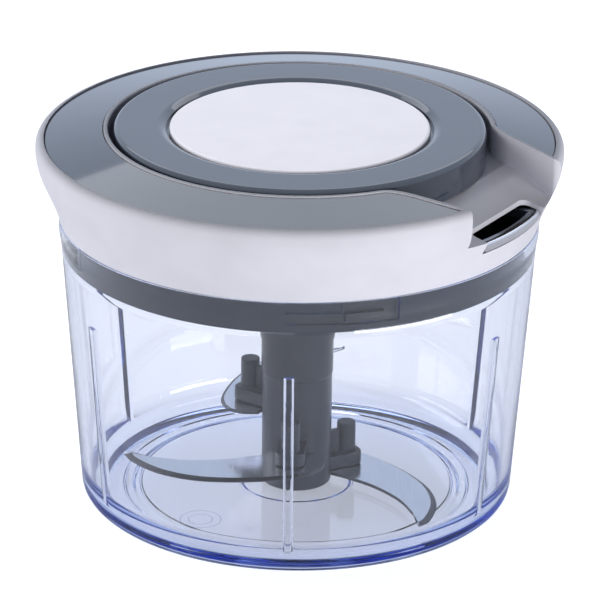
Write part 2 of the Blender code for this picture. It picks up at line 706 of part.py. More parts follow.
def build_blades(parent):
    """Blade shaft with three ledges, its foot bush and the three blades."""
    shaft = piece("blade_shaft", revolved(shaft_profile(), MIDDLE_STEPS), "dark", parent)

    def slot(name):
        bottom = BLADE_HEIGHTS[name] - CLEAR
        top = BLADE_HEIGHTS[name] + BLADE_THICKNESS + CLEAR
        reach = BLADE_REACH / 2
        outline = [(SLOT_DEPTH_RADIUS - CLEAR, -reach), (reach, -reach), (reach, reach)]
        outline.append((SLOT_DEPTH_RADIUS - CLEAR, reach))
        return turned(prism(outline, bottom, top), BLADE_ANGLES[name])

    boolean(shaft, helper("blade_slots", merged([slot(name) for name in BLADE_HEIGHTS]), parent))
    for name in BLADE_HEIGHTS:
        for index, shape in enumerate(ledge(name)):
            boolean(shaft, helper(f"{name}_ledge_{index}", shape, parent), "UNION")
    keys = repeated(dog_key, DOG_COUNT, math.pi / 2)
    boolean(shaft, helper("socket_keys", keys, parent), "UNION")
    for name in BLADE_HEIGHTS:
        blade(parent, name)
    inner = PIN_RADIUS + CLEAR
    bottom = BOWL_FLOOR_TOP + PIN_BOSS_HEIGHT + CLEAR
    top = bottom + FOOT_BUSH_HEIGHT
    profile = [(inner, bottom), (inner + FOOT_BUSH_WALL, bottom), (inner + FOOT_BUSH_WALL, top), (inner, top)]
    piece("foot_bush", revolved(profile, SMALL_STEPS), "nylon", parent)


def dog_key():
    """One key in the shaft's socket, which the spindle's dogs push round."""
    outer = SOCKET_RADIUS + ROOT
    return sector(KEY_INNER_RADIUS, outer, -DOG_HALF_ANGLE, DOG_HALF_ANGLE, SOCKET_BOTTOM - ROOT, DOG_TOP, 2)


def build_seal(parent):
    """Soft ring between the bowl's rim and the lid."""
    inner = SKIRT_RADIUS + SEAL_CLEARANCE
    outer = COVER_BOTTOM_RADIUS - COVER_WALL - SEAL_CLEARANCE
    bottom = BOWL_HEIGHT + CLEAR
    top = PLATE_BOTTOM - CLEAR
    profile = [(inner, bottom), (outer, bottom), (outer, top), (inner, top)]
    piece("seal_ring", revolved(profile, LARGE_STEPS), "rubber", parent)


def cover_side(inset=0.0):
    """The cover's flared side as (radius, height), drawn in by the wall for the inner face."""
    return [
        (
            COVER_BOTTOM_RADIUS + (RIM_RADIUS - COVER_BOTTOM_RADIUS) * flare - inset,
            COVER_BOTTOM + (RIM_HEIGHT - COVER_BOTTOM) * rise,
        )
        for rise, flare in COVER_SIDE_SHARES
    ]


def deck_height(radius):
    """Height of the inlay's face at a radius."""
    share = (INLAY_OUTER_RADIUS - radius) / (INLAY_OUTER_RADIUS - INLAY_INNER_RADIUS)
    return INLAY_OUTER_HEIGHT + (INLAY_INNER_HEIGHT - INLAY_OUTER_HEIGHT) * share


def cover_profile():
    """Outline of the cover as a solid, with the well for the spring cap."""
    lip = arc((RIM_RADIUS - RIM_LIP, RIM_HEIGHT), RIM_LIP, 0.0, math.pi / 2, 4)[1:]
    well_lip_radius = WELL_RADIUS + WELL_LIP
    crest = deck_height(well_lip_radius) + WELL_LIP_RISE
    return [
        (WELL_HOLE_RADIUS, COVER_BOTTOM),
        *cover_side(),
        *lip,
        (well_lip_radius, crest - WELL_LIP_RISE),
        (WELL_RADIUS + WELL_LIP / 2, crest),
        (WELL_RADIUS, crest - WELL_LIP_RISE),
        (WELL_RADIUS, WELL_FLOOR),
        (WELL_HOLE_RADIUS, WELL_FLOOR),
    ]


def hollow_profile():
    """Outline of the space inside the cover, one wall in from its faces."""
    deck = INLAY_THICKNESS + CLEAR + COVER_WALL
    outer = RIM_RADIUS - COVER_WALL - RIM_LIP
    inner = WELL_RADIUS + COVER_WALL
    return [
        (0.0, COVER_BOTTOM - OVERRUN),
        (COVER_BOTTOM_RADIUS - COVER_WALL, COVER_BOTTOM - OVERRUN),
        *cover_side(COVER_WALL)[:-1],
        (outer, deck_height(outer) - deck),
        (inner, deck_height(inner) - deck),
        (inner, WELL_FLOOR - COVER_WALL),
        (0.0, WELL_FLOOR - COVER_WALL),
    ]


def gap_side(grow=0.0):
    """One side of the gap's outline: the rounded corner at the well, then the straight wall outwards."""
    slope = (GAP_OUTER_HALF_WIDTH - GAP_INNER_HALF_WIDTH) / (GAP_OUTER_ALONG - GAP_INNER_ALONG)
    corner = Vector((GAP_INNER_ALONG, GAP_INNER_HALF_WIDTH))
    around = math.atan2(corner.y, corner.x) + GAP_CORNER / WELL_RADIUS
    first = Vector(polar(WELL_RADIUS, around))
    last = corner + Vector((GAP_CORNER, GAP_CORNER * slope))
    points = []
    for index in range(GAP_CORNER_STEPS + 1):
        t = index / GAP_CORNER_STEPS
        points.append(first * (1 - t) ** 2 + corner * 2 * t * (1 - t) + last * t**2)
    end = RIM_RADIUS + OVERRUN + grow
    points.append(Vector((end, GAP_INNER_HALF_WIDTH + slope * (end - GAP_INNER_ALONG))))
    return [(point.x, point.y + grow) for point in points]


def gap_outline(grow=0.0):
    """The gap's outline seen from above, in the pull frame."""
    side = [(GAP_START, GAP_INNER_HALF_WIDTH + grow), *gap_side(grow)]
    return [(along, -across) for along, across in side] + side[::-1]


def gap_tool(name, grow, drop, frame):
    """A solid of the gap: its outline over its sloping floor, wider and lower by the wall for the hollow."""
    top = CAP_TOP + OVERRUN
    deep = WELL_FLOOR - GAP_FLOOR_FALL - COVER_WALL - OVERRUN
    tool = helper(name, prism(gap_outline(grow), deep, top), frame)
    fall = GAP_FLOOR_ENDS - GAP_FLOOR_STARTS
    floor = [
        (GAP_FLOOR_STARTS + fall * along, WELL_FLOOR - GAP_FLOOR_FALL * down - drop)
        for along, down in GAP_FLOOR_SHARES
    ]
    end = RIM_RADIUS + COVER_WALL + OVERRUN
    last_slope = (floor[-1][1] - floor[-2][1]) / (floor[-1][0] - floor[-2][0])
    outer = (end, floor[-1][1] + last_slope * (end - floor[-1][0]))
    start = GAP_START - OVERRUN
    outline = [(start, WELL_FLOOR - drop), *floor, outer, (end, top + OVERRUN), (start, top + OVERRUN)]
    wide = GAP_INNER_HALF_WIDTH + GAP_CORNER + grow + OVERRUN
    sections = [[(along, across, height) for along, height in outline] for across in (-wide, wide)]
    boolean(tool, helper(name + "_floor", lofted(sections), frame), "INTERSECT")
    return tool


def inlay_ring(spare):
    """The ring that the inlay fills, grown by the spare for its recess."""
    inner = INLAY_INNER_RADIUS - spare
    outer = INLAY_OUTER_RADIUS + spare
    lift = OVERRUN if spare else 0.0
    edge = INLAY_EDGE
    if spare:
        top = [(outer, deck_height(outer) + lift), (inner, deck_height(inner) + lift)]
    else:
        top = [
            (outer, deck_height(outer) - edge),
            (outer - edge, deck_height(outer - edge)),
            (inner + edge, deck_height(inner + edge)),
            (inner, deck_height(inner) - edge),
        ]
    under = INLAY_THICKNESS + spare
    return [(inner, deck_height(inner) - under), (outer, deck_height(outer) - under), *top]


def ring_of(centre_radius, count, first):
    """Places spread evenly round a circle."""
    return [polar(centre_radius, first + index * math.tau / count) for index in range(count)]


def rods(places, radius, bottom, top):
    """Equal upright cylinders at several places."""
    return merged([rod(radius, bottom, top, SCREW_STEPS, place) for place in places])


def build_cover(parent, frame):
    """White cover: a thin shell with the well, the gap, screw bosses and the handle notch; and its inlay."""
    cover = piece("lid_cover", revolved(cover_profile(), LARGE_STEPS), "white", parent)
    boolean(cover, gap_tool("gap", 0.0, 0.0, frame))
    recess = helper("inlay_recess", revolved(inlay_ring(CLEAR), LARGE_STEPS), parent)
    low = INLAY_OUTER_HEIGHT - INLAY_THICKNESS - OVERRUN
    high = CAP_TOP + OVERRUN + OVERRUN
    boolean(recess, helper("recess_ends", prism(gap_outline(GAP_LIP), low, high), frame))
    boolean(cover, recess)

    hollow = helper("cover_hollow", revolved(hollow_profile(), LARGE_STEPS), parent)
    boolean(hollow, gap_tool("gap_wall", COVER_WALL, GAP_FLOOR_WALL, frame))
    base_places = ring_of(BASE_SCREW_CIRCLE_RADIUS, BASE_SCREW_COUNT, BASE_SCREW_FIRST_ANGLE)
    boss_bottom = PLATE_TOP + CLEAR
    bosses = rods(base_places, BASE_BOSS_RADIUS, boss_bottom, CAP_TOP)
    boolean(hollow, helper("cover_bosses", bosses, parent))
    boolean(cover, hollow)

    cap_places = ring_of(CAP_SCREW_CIRCLE_RADIUS, CAP_SCREW_COUNT, CAP_SCREW_FIRST_ANGLE)
    post_top = WELL_FLOOR + CAP_POST_HEIGHT
    root = WELL_FLOOR - ROOT
    cap_posts = rods(cap_places, CAP_POST_RADIUS, root, post_top)
    boolean(cover, helper("cap_posts", cap_posts, parent), "UNION")
    spring_top = WELL_FLOOR + CLEAR + SPRING_HEIGHT
    post = rod(SPRING_POST_RADIUS, root, spring_top, SMALL_STEPS, spring_post_place())
    boolean(cover, helper("spring_post", post, parent), "UNION")

    hole = SCREW_RADIUS + CLEAR
    cap_hole_bottom = CAP_SCREW_SEAT - CAP_SCREW_LENGTH - CLEAR
    cap_holes = rods(cap_places, hole, cap_hole_bottom, post_top + OVERRUN)
    base_top = PLATE_BOTTOM + BASE_SCREW_LENGTH + SCREW_HOLE_SPARE
    base_holes = rods(base_places, hole, boss_bottom - OVERRUN, base_top)
    boolean(cover, helper("cover_screw_holes", merged([cap_holes, base_holes]), parent))

    half = HANDLE_HALF_WIDTH + NOTCH_CLEARANCE
    corner_along = NOTCH_START + NOTCH_CORNER
    rear = arc((corner_along, half - NOTCH_CORNER), NOTCH_CORNER, math.pi / 2, math.pi, NOTCH_CORNER_STEPS)
    end = RIM_RADIUS + OVERRUN
    outline = [(end, half), *rear, *[(along, -across) for along, across in rear[::-1]], (end, -half)]
    boolean(cover, helper("handle_notch", prism(outline, SILL_TOP, CAP_TOP), frame))

    inlay = piece("rim_inlay", revolved(inlay_ring(0.0), LARGE_STEPS), "gloss", parent)
    boolean(inlay, helper("inlay_ends", prism(gap_outline(GAP_LIP + CLEAR), low, high), frame))


def cap_profile():
    """Outline of the spring cap: side wall, top face, the disc's recess and the plate over the spring."""
    recess = CAP_RECESS_RADIUS
    bevel = CAP_RECESS_BEVEL
    under = CAP_RECESS_FLOOR - CAP_PLATE
    hole = AXLE_RADIUS + CLEAR
    return [
        (hole, CAP_RECESS_FLOOR),
        (recess, CAP_RECESS_FLOOR),
        (recess, CAP_TOP - bevel / 2),
        (recess + bevel / 4, CAP_TOP - bevel / 8),
        (CAP_INNER_EDGE_RADIUS, CAP_TOP),
        (CAP_RADIUS - CAP_EDGE - CAP_EDGE, CAP_TOP - CAP_EDGE / 4),
        (CAP_RADIUS - CAP_EDGE / 4, CAP_TOP - CAP_EDGE),
        (CAP_RADIUS, CAP_TOP - CAP_EDGE - CAP_EDGE),
        (CAP_RADIUS, WELL_FLOOR + CLEAR),
        (CAP_RADIUS - CAP_SIDE, WELL_FLOOR + CLEAR),
        (CAP_RADIUS - CAP_SIDE, under),
        (hole, under),
    ]


def build_cap(parent):
    """Spring cap with its screw seats, the disc that covers them, and the cap's screws."""
    cap = piece("spring_cap", revolved(cap_profile(), LARGE_STEPS), "gloss", parent)
    places = ring_of(CAP_SCREW_CIRCLE_RADIUS, CAP_SCREW_COUNT, CAP_SCREW_FIRST_ANGLE)
    under = CAP_RECESS_FLOOR - CAP_PLATE
    post_bottom = WELL_FLOOR + CAP_POST_HEIGHT + CLEAR
    feet = rods(places, CAP_POST_RADIUS, post_bottom, under + ROOT)
    boolean(cap, helper("cap_feet", feet, parent), "UNION")
    seats = rods(places, SCREW_HEAD_RADIUS + CLEAR, CAP_SCREW_SEAT - CLEAR, CAP_RECESS_FLOOR + OVERRUN)
    boolean(cap, helper("cap_seats", seats, parent))
    holes = rods(places, SCREW_RADIUS + CLEAR, post_bottom - OVERRUN, CAP_SCREW_SEAT + ROOT)
    boolean(cap, helper("cap_holes", holes, parent))
    for index, place in enumerate(places):
        screw(f"cap_screw_{index + 1}", place, CAP_SCREW_SEAT, CAP_SCREW_LENGTH, 1, parent)

    bottom = CAP_RECESS_FLOOR + CLEAR
    profile = [
        (0.0, bottom + DISC_POCKET_DEPTH),
        (DISC_POCKET_RADIUS, bottom + DISC_POCKET_DEPTH),
        (DISC_POCKET_RADIUS, bottom),
        (DISC_RADIUS, bottom),
        (DISC_RADIUS, DISC_TOP - DISC_EDGE),
        (DISC_RADIUS - DISC_EDGE / 4, DISC_TOP - DISC_EDGE / 4),
        (DISC_RADIUS - DISC_EDGE, DISC_TOP),
        (0.0, DISC_TOP),
    ]
    piece("hub_disc", revolved(profile, LARGE_STEPS), "white", parent)


def screw(name, place, seat, length, way, parent):
    """A pan-head screw with its seat at that height; way is 1 with its head on top and -1 hanging down."""
    head = seat + way * SCREW_HEAD_HEIGHT
    drive = head - way * SCREW_DRIVE_DEPTH
    profile = [
        (0.0, seat - way * length),
        (SCREW_RADIUS, seat - way * length),
        (SCREW_RADIUS, seat),
        (SCREW_HEAD_RADIUS, seat),
        (SCREW_HEAD_RADIUS - SCREW_DRIVE_DEPTH / 2, head),
        (SCREW_DRIVE_RADIUS, head),
        (SCREW_DRIVE_RADIUS, drive),
        (0.0, drive),
    ]
    made = piece(name, revolved(profile, SCREW_STEPS), "steel", parent)
    made.location = (*place, 0.0)


def build_base(parent, frame):
    """Lid base: plate, skirt with four lugs, bearing collar, shaft guard, handle tray and cord guide wall."""
    skirt_inner = SKIRT_RADIUS - SKIRT_THICKNESS
    guard = SHAFT_UPPER_RADIUS + GUARD_CLEARANCE
    collar_bottom = PLATE_BOTTOM - COLLAR_DROP
    profile = [
        (COLLAR_RADIUS, collar_bottom),
        (COLLAR_RADIUS + COLLAR_WALL, collar_bottom),
        (COLLAR_RADIUS + COLLAR_WALL, PLATE_BOTTOM),
        (guard, PLATE_BOTTOM),
        (guard, PLATE_BOTTOM - GUARD_DROP),
        (guard + GUARD_WALL, PLATE_BOTTOM - GUARD_DROP),
        (guard + GUARD_WALL, PLATE_BOTTOM),
        (skirt_inner, PLATE_BOTTOM),
        (skirt_inner, SKIRT_BOTTOM + SKIRT_EDGE),
        (skirt_inner + SKIRT_EDGE, SKIRT_BOTTOM),
        (SKIRT_RADIUS - SKIRT_EDGE, SKIRT_BOTTOM),
        (SKIRT_RADIUS, SKIRT_BOTTOM + SKIRT_EDGE),
        (SKIRT_RADIUS, PLATE_BOTTOM),
        (COVER_BOTTOM_RADIUS - COVER_WALL - CLEAR, PLATE_BOTTOM),
        (COVER_BOTTOM_RADIUS - COVER_WALL - CLEAR, PLATE_TOP),
        (COLLAR_RADIUS, PLATE_TOP),
    ]
    base = piece("lid_base", revolved(profile, LARGE_STEPS), "dark", parent)
    lug_bottom = CHANNEL_FLOOR + LUG_CLEARANCE
    lug_top = CHANNEL_FLOOR + CHANNEL_HEIGHT - LUG_CLEARANCE
    lug_reach = BOWL_RIM_INNER_RADIUS + CHANNEL_DEPTH - LUG_CLEARANCE

    def lug():
        return sector(SKIRT_RADIUS - ROOT, lug_reach, LUG_START, LUG_END, lug_bottom, lug_top)

    boolean(base, helper("lid_lugs", repeated(lug, BAYONET_COUNT), parent), "UNION")
    places = ring_of(BASE_SCREW_CIRCLE_RADIUS, BASE_SCREW_COUNT, BASE_SCREW_FIRST_ANGLE)
    holes = rods(places, SCREW_RADIUS + CLEAR, PLATE_BOTTOM - OVERRUN, PLATE_TOP + OVERRUN)
    boolean(base, helper("base_holes", holes, parent))
    for index, place in enumerate(places):
        screw(f"base_screw_{index + 1}", place, PLATE_BOTTOM - CLEAR, BASE_SCREW_LENGTH, -1, parent)

    half = HANDLE_HALF_WIDTH + NOTCH_CLEARANCE
    outer = half + TRAY_WALL
    front = math.asin(outer / TRAY_FRONT_RADIUS)
    outline = [(TRAY_START, -outer), *arc((0.0, 0.0), TRAY_FRONT_RADIUS, -front, front, ARC_STEPS)]
    outline.append((TRAY_START, outer))
    tray = helper("handle_tray", prism(outline, PLATE_TOP - ROOT, HANDLE_BOTTOM + TRAY_WALL_RISE), frame)
    end = RIM_RADIUS
    start = TRAY_START - OVERRUN
    run = prism([(start, -half), (end, -half), (end, half), (start, half)], SILL_TOP, HANDLE_TOP + OVERRUN)
    boolean(tray, helper("handle_run", run, frame))
    pocket = loop_outline(HANDLE_BAR, HANDLE_SIDE, TRIM_DEPTH + CLEAR + HANDLE_FRONT_BAR + POCKET_FRONT_WALL)
    boolean(tray, helper("finger_pocket", prism(pocket, POCKET_FLOOR, HANDLE_TOP), frame))
    boolean(base, tray, "UNION")
    wall_end = GUIDE_WALL_START + GUIDE_WALL_THICKNESS
    wide = GUIDE_WALL_HALF_WIDTH
    outline = [(GUIDE_WALL_START, -wide), (wall_end, -wide), (wall_end, wide), (GUIDE_WALL_START, wide)]
    wall = helper("guide_wall", prism(outline, PLATE_TOP - ROOT, GUIDE_WALL_TOP), frame)
    sleeve = GUIDE_BORE + GUIDE_SLEEVE_WALL
    bore = along_rod(sleeve + CLEAR, GUIDE_WALL_START - OVERRUN, wall_end + OVERRUN)
    boolean(wall, helper("guide_hole", bore, frame))
    boolean(base, wall, "UNION")


def along_rod(radius, start, end, steps=SMALL_STEPS):
    """A cylinder along the pull direction, at the cord's height."""
    sections = [[(along, y, CORD_HEIGHT + z) for y, z in circle(radius, steps)] for along in (start, end)]
    return lofted(sections)


def along_turned(profile, steps=SMALL_STEPS):
    """Turns an outline of (radius, along) about the cord's straight line in the pull frame."""
    shape = revolved(profile, steps)
    bmesh.ops.rotate(shape, verts=shape.verts, cent=(0, 0, 0), matrix=Matrix.Rotation(math.pi / 2, 3, "Y"))
    bmesh.ops.translate(shape, verts=shape.verts, vec=(0.0, 0.0, CORD_HEIGHT))
    return shape


def spring_place(turn):
    """The spring's middle line, as radius, after so many turns."""
    return REEL_HUB_RADIUS + CLEAR + SPRING_THICKNESS / 2 + SPRING_PITCH * turn


def spring_post_place():
    """The post that holds the spring's outer end, just outside its last point."""
    angle = math.tau * SPRING_TURNS
    return polar(spring_place(SPRING_TURNS) + SPRING_THICKNESS / 2 + CLEAR + SPRING_POST_RADIUS, angle)


def build_reel(parent, lid):
    """Cord reel with its winding, pawls and spring, the axle it turns on, and the cord's inner run."""
    top = REEL_BOTTOM + REEL_HEIGHT
    web = top - REEL_WEB
    bore = AXLE_RADIUS + CLEAR
    profile = [
        (bore, web),
        (REEL_CAVITY_RADIUS, web),
        (REEL_CAVITY_RADIUS, REEL_BOTTOM),
        (REEL_FLANGE_RADIUS, REEL_BOTTOM),
        (REEL_FLANGE_RADIUS, REEL_BOTTOM + REEL_FLANGE),
        (REEL_DRUM_RADIUS, REEL_BOTTOM + REEL_FLANGE),
        (REEL_DRUM_RADIUS, top - REEL_FLANGE),
        (REEL_FLANGE_RADIUS, top - REEL_FLANGE),
        (REEL_FLANGE_RADIUS, top),
        (REEL_HUB_RADIUS, top),
        (REEL_HUB_RADIUS, REEL_HUB_TOP),
        (bore, REEL_HUB_TOP),
    ]
    reel = piece("cord_reel", revolved(profile, MIDDLE_STEPS), "nylon", parent)
    pivots = ring_of(PAWL_PIVOT_RADIUS, PAWL_COUNT, 0.0)
    pins = rods(pivots, PAWL_PIN_RADIUS, web - CLEAR - PAWL_HEIGHT, web + ROOT)
    boolean(reel, helper("pawl_pins", pins, parent), "UNION")

    inner = REEL_DRUM_RADIUS + CLEAR
    outer = REEL_DRUM_RADIUS + WINDING_LAYERS_DEPTH
    low = REEL_BOTTOM + REEL_FLANGE + CLEAR
    high = top - REEL_FLANGE - CLEAR
    pitch = (high - low) / WINDING_TURNS
    crests = []
    for turn in range(WINDING_TURNS):
        middle = low + pitch * (turn + 0.5)
        crests += [(outer, middle - pitch / 2), (outer + CORD_RADIUS, middle)]
    winding = [(inner, low), *crests, (outer, high), (inner, high)]
    piece("cord_winding", revolved(winding, MIDDLE_STEPS), "cord", parent)

    for letter, index in zip("ab", range(PAWL_COUNT)):
        build_pawl(letter, index, web - CLEAR, parent)

    head = CAP_RECESS_FLOOR + CLEAR
    foot = web - CLEAR
    profile = [
        (0.0, foot - AXLE_FOOT_HEIGHT),
        (AXLE_FOOT_RADIUS, foot - AXLE_FOOT_HEIGHT),
        (AXLE_FOOT_RADIUS, foot),
        (AXLE_RADIUS, foot),
        (AXLE_RADIUS, head),
        (AXLE_HEAD_RADIUS, head),
        (AXLE_HEAD_RADIUS, head + AXLE_HEAD_HEIGHT),
        (0.0, head + AXLE_HEAD_HEIGHT),
    ]
    piece("reel_axle", revolved(profile, SMALL_STEPS), "steel", lid)

    bottom = WELL_FLOOR + CLEAR
    half = SPRING_THICKNESS / 2
    sections = []
    for index in range(SPRING_TURNS * SPRING_STEPS + 1):
        turn = index / SPRING_STEPS
        inside = polar(spring_place(turn) - half, math.tau * turn)
        outside = polar(spring_place(turn) + half, math.tau * turn)
        high = bottom + SPRING_HEIGHT
        sections.append([(*inside, bottom), (*outside, bottom), (*outside, high), (*inside, high)])
    piece("recoil_spring", lofted(sections), "steel", lid)


def build_pawl(letter, index, top, parent):
    """One pawl on its pin: a round heel and an arm that trails to the ratchet wheel."""
    angle = index * math.tau / PAWL_COUNT
    hinge = empty(f"pawl_{letter}_hinge", parent, (*polar(PAWL_PIVOT_RADIUS, angle), 0.0), angle)
    heel = arc((0.0, 0.0), PAWL_HEEL_RADIUS, math.radians(-150), math.radians(40), 8)
    tip = Vector((-PAWL_TIP_INSET, PAWL_REACH))
    side = Vector((PAWL_REACH, PAWL_TIP_INSET)).normalized() * PAWL_TIP_WIDTH
    outline = [*heel, tuple(tip + side), tuple(tip)]
    shape = prism(outline, top - PAWL_HEIGHT, top)
    made = piece(f"pawl_{letter}", shape, "steel", hinge)
    hole = rod(PAWL_PIN_RADIUS + CLEAR, top - PAWL_HEIGHT - OVERRUN, top + OVERRUN)
    boolean(made, helper(f"pawl_{letter}_hole", hole, hinge))


def build_drive(parent, lid):
    """Drive hub with its ratchet wheel and dogs, its bearing bush and the clip that keeps it in."""
    bottom = PLATE_TOP + CLEAR + CLEAR
    bush_bottom = PLATE_BOTTOM - COLLAR_DROP
    clip_top = bush_bottom - CLEAR
    clip_bottom = clip_top - CLIP_HEIGHT
    shoulder = clip_bottom - CLEAR
    profile = [
        (0.0, SPINDLE_BOTTOM),
        (SPINDLE_CORE_RADIUS, SPINDLE_BOTTOM),
        (SPINDLE_CORE_RADIUS, shoulder - CLIP_SHOULDER),
        (SPINDLE_RADIUS, shoulder - CLIP_SHOULDER),
        (SPINDLE_RADIUS, shoulder),
        (CLIP_SEAT_RADIUS, shoulder),
        (CLIP_SEAT_RADIUS, bush_bottom),
        (SPINDLE_RADIUS, bush_bottom),
        (SPINDLE_RADIUS, bottom + ROOT),
        (0.0, bottom + ROOT),
    ]
    hub = piece("drive_hub", revolved(profile, MIDDLE_STEPS), "nylon", parent)
    teeth = []
    for index in range(WHEEL_TEETH):
        start = math.tau * index / WHEEL_TEETH
        teeth.append(polar(WHEEL_ROOT_RADIUS, start))
        teeth.append(polar(WHEEL_RADIUS, start))
    boolean(hub, helper("ratchet_wheel", prism(teeth, bottom, bottom + WHEEL_HEIGHT), parent), "UNION")

    def dog():
        inner = SPINDLE_CORE_RADIUS - ROOT
        return sector(inner, SPINDLE_RADIUS, -DOG_HALF_ANGLE, DOG_HALF_ANGLE, SPINDLE_BOTTOM, DOG_TOP, 2)

    boolean(hub, helper("spindle_dogs", repeated(dog, DOG_COUNT), parent), "UNION")
    outer = BEARING_RADIUS + BUSH_WALL
    inner = BEARING_RADIUS
    profile = [(inner, bush_bottom), (outer, bush_bottom), (outer, PLATE_TOP), (inner, PLATE_TOP)]
    piece("bearing_bush", revolved(profile, SMALL_STEPS), "nylon", lid)
    inner = CLIP_SEAT_RADIUS + CLEAR
    profile = [(inner, clip_bottom), (CLIP_RADIUS, clip_bottom), (CLIP_RADIUS, clip_top), (inner, clip_top)]
    piece("drive_clip", revolved(profile, SMALL_STEPS), "steel", parent)


def loop_outline(back, side, front):
    """Outline inside or round the handle: so far in from its back, its sides and its curved front."""
    start = HANDLE_BACK + back
    half = HANDLE_HALF_WIDTH - side
    radius = TRIM_RADIUS - front
    corner = half * HANDLE_CORNER_SHARE
    ends = math.asin(half / radius)
    curve = arc((0.0, 0.0), radius, -ends, ends, ARC_STEPS)
    rear = arc((start + corner, half - corner), corner, math.pi / 2, math.pi, 3)
    return curve + rear + [(along, -across) for along, across in rear[::-1]]


def build_handle(parent, lid, frame):
    """Pull handle: a flat ring with a silver front, the cord's knot, guide and both stretches of cord."""
    outline = loop_outline(0.0, 0.0, TRIM_DEPTH + CLEAR)
    ring = piece("handle_ring", prism(outline, HANDLE_BOTTOM, HANDLE_TOP), "gloss", parent)
    opening = loop_outline(HANDLE_BAR, HANDLE_SIDE, TRIM_DEPTH + CLEAR + HANDLE_FRONT_BAR)
    low = HANDLE_BOTTOM - OVERRUN
    boolean(ring, helper("ring_opening", prism(opening, low, HANDLE_TOP + OVERRUN), parent))
    hole = along_rod(GUIDE_BORE, HANDLE_BACK - OVERRUN, HANDLE_BACK + HANDLE_BAR + OVERRUN)
    boolean(ring, helper("ring_cord_hole", hole, parent))

    ends = math.asin((HANDLE_HALF_WIDTH - TRIM_END_INSET) / TRIM_RADIUS)
    outer = arc((0.0, 0.0), TRIM_RADIUS, -ends, ends, ARC_STEPS)
    inner = arc((0.0, 0.0), TRIM_RADIUS - TRIM_DEPTH, ends, -ends, ARC_STEPS)
    piece("handle_trim", prism(outer + inner, HANDLE_BOTTOM, HANDLE_TOP), "silver", parent)

    knot = bmesh.new()
    bmesh.ops.create_uvsphere(knot, u_segments=8, v_segments=6, radius=KNOT_RADIUS)
    middle = HANDLE_BACK + HANDLE_BAR + CLEAR + KNOT_RADIUS
    bmesh.ops.translate(knot, verts=knot.verts, vec=(middle, 0.0, CORD_HEIGHT))
    piece("cord_knot", knot, "cord", parent)

    sleeve = GUIDE_BORE + GUIDE_SLEEVE_WALL
    wall_end = GUIDE_WALL_START + GUIDE_WALL_THICKNESS
    guide_end = wall_end + CLEAR + GUIDE_FLANGE
    profile = [
        (GUIDE_BORE, GUIDE_WALL_START),
        (sleeve, GUIDE_WALL_START),
        (sleeve, wall_end + CLEAR),
        (GUIDE_FLANGE_RADIUS, wall_end + CLEAR),
        (GUIDE_FLANGE_RADIUS, guide_end),
        (GUIDE_BORE, guide_end),
    ]
    guide = piece("cord_guide", along_turned(profile), "steel", lid)
    guide.matrix_basis = Matrix.Rotation(PULL_ANGLE, 4, "Z")

    length = guide_end - CLEAR - CORD_LEAVES_ALONG
    route = [
        (CORD_LEAVES_ALONG + length * along, -CORD_LEAVES_ACROSS * across, CORD_HEIGHT)
        for along, across in CORD_ROUTE_SHARES
    ]
    cord("cord_run", route, frame)
    ends = (guide_end, HANDLE_BACK + HANDLE_BAR)
    cord("cord_tail", [(along, 0.0, CORD_HEIGHT) for along in ends], frame)


def cord(name, points, parent):
    """A straight-sided tube along a route, with flat ends."""
    line = bpy.data.curves.new(name, "CURVE")
    line.dimensions = "3D"
    line.bevel_depth = CORD_RADIUS
    line.bevel_resolution = 2
    line.use_fill_caps = True
    path = line.splines.new("POLY")
    path.points.add(len(points) - 1)
    for point, place in zip(path.points, points):
        point.co = (*place, 1.0)
    line.materials.append(finish("cord"))
    made = bpy.data.objects.new(name, line)
    bpy.context.scene.collection.objects.link(made)
    made.parent = parent


def main():
    """Builds the chopper, with one empty for each joint that carries moving pieces."""
    clear_scene()
    build_bowl()
    blade_spin = empty("blade_spin")
    lid_lift = empty("lid_lift")
    lid_turn = empty("lid_turn", lid_lift)
    pull_frame = empty("pull_frame", lid_turn, turn=PULL_ANGLE)
    handle_pull = empty("handle_pull", pull_frame)
    reel_spin = empty("reel_spin", lid_turn)
    drive_spin = empty("drive_spin", lid_turn)
    build_blades(blade_spin)
    build_seal(lid_lift)
    build_cover(lid_turn, pull_frame)
    build_cap(lid_turn)
    build_base(lid_turn, pull_frame)
    build_reel(reel_spin, lid_turn)
    build_drive(drive_spin, lid_turn)
    build_handle(handle_pull, lid_turn, pull_frame)
    bpy.context.view_layer.update()


main()
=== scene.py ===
"""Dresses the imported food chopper: finer pieces, moulded and ground finishes, and a plain studio."""

import logging
import math
from collections.abc import Callable, Iterable, Sequence
from dataclasses import dataclass, field
from enum import Enum

import bmesh
import bpy
from mathutils import Matrix, Vector


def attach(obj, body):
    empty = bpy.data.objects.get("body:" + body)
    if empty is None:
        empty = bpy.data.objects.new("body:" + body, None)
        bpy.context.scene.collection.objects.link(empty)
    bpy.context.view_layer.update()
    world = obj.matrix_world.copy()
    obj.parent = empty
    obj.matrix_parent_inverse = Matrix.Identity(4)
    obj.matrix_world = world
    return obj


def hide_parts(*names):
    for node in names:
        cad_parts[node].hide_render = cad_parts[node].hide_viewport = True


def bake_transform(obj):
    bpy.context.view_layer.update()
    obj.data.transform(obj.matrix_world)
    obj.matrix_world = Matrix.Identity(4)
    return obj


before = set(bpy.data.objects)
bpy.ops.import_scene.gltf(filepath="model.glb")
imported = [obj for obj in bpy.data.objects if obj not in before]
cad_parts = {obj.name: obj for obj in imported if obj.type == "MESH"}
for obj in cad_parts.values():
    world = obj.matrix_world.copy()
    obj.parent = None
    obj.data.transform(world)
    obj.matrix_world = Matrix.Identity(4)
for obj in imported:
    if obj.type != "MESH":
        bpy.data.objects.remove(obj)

Mesh = bmesh.types.BMesh
Point = tuple[float, float]
Corner = tuple[float, ...]
Edge = bmesh.types.BMEdge
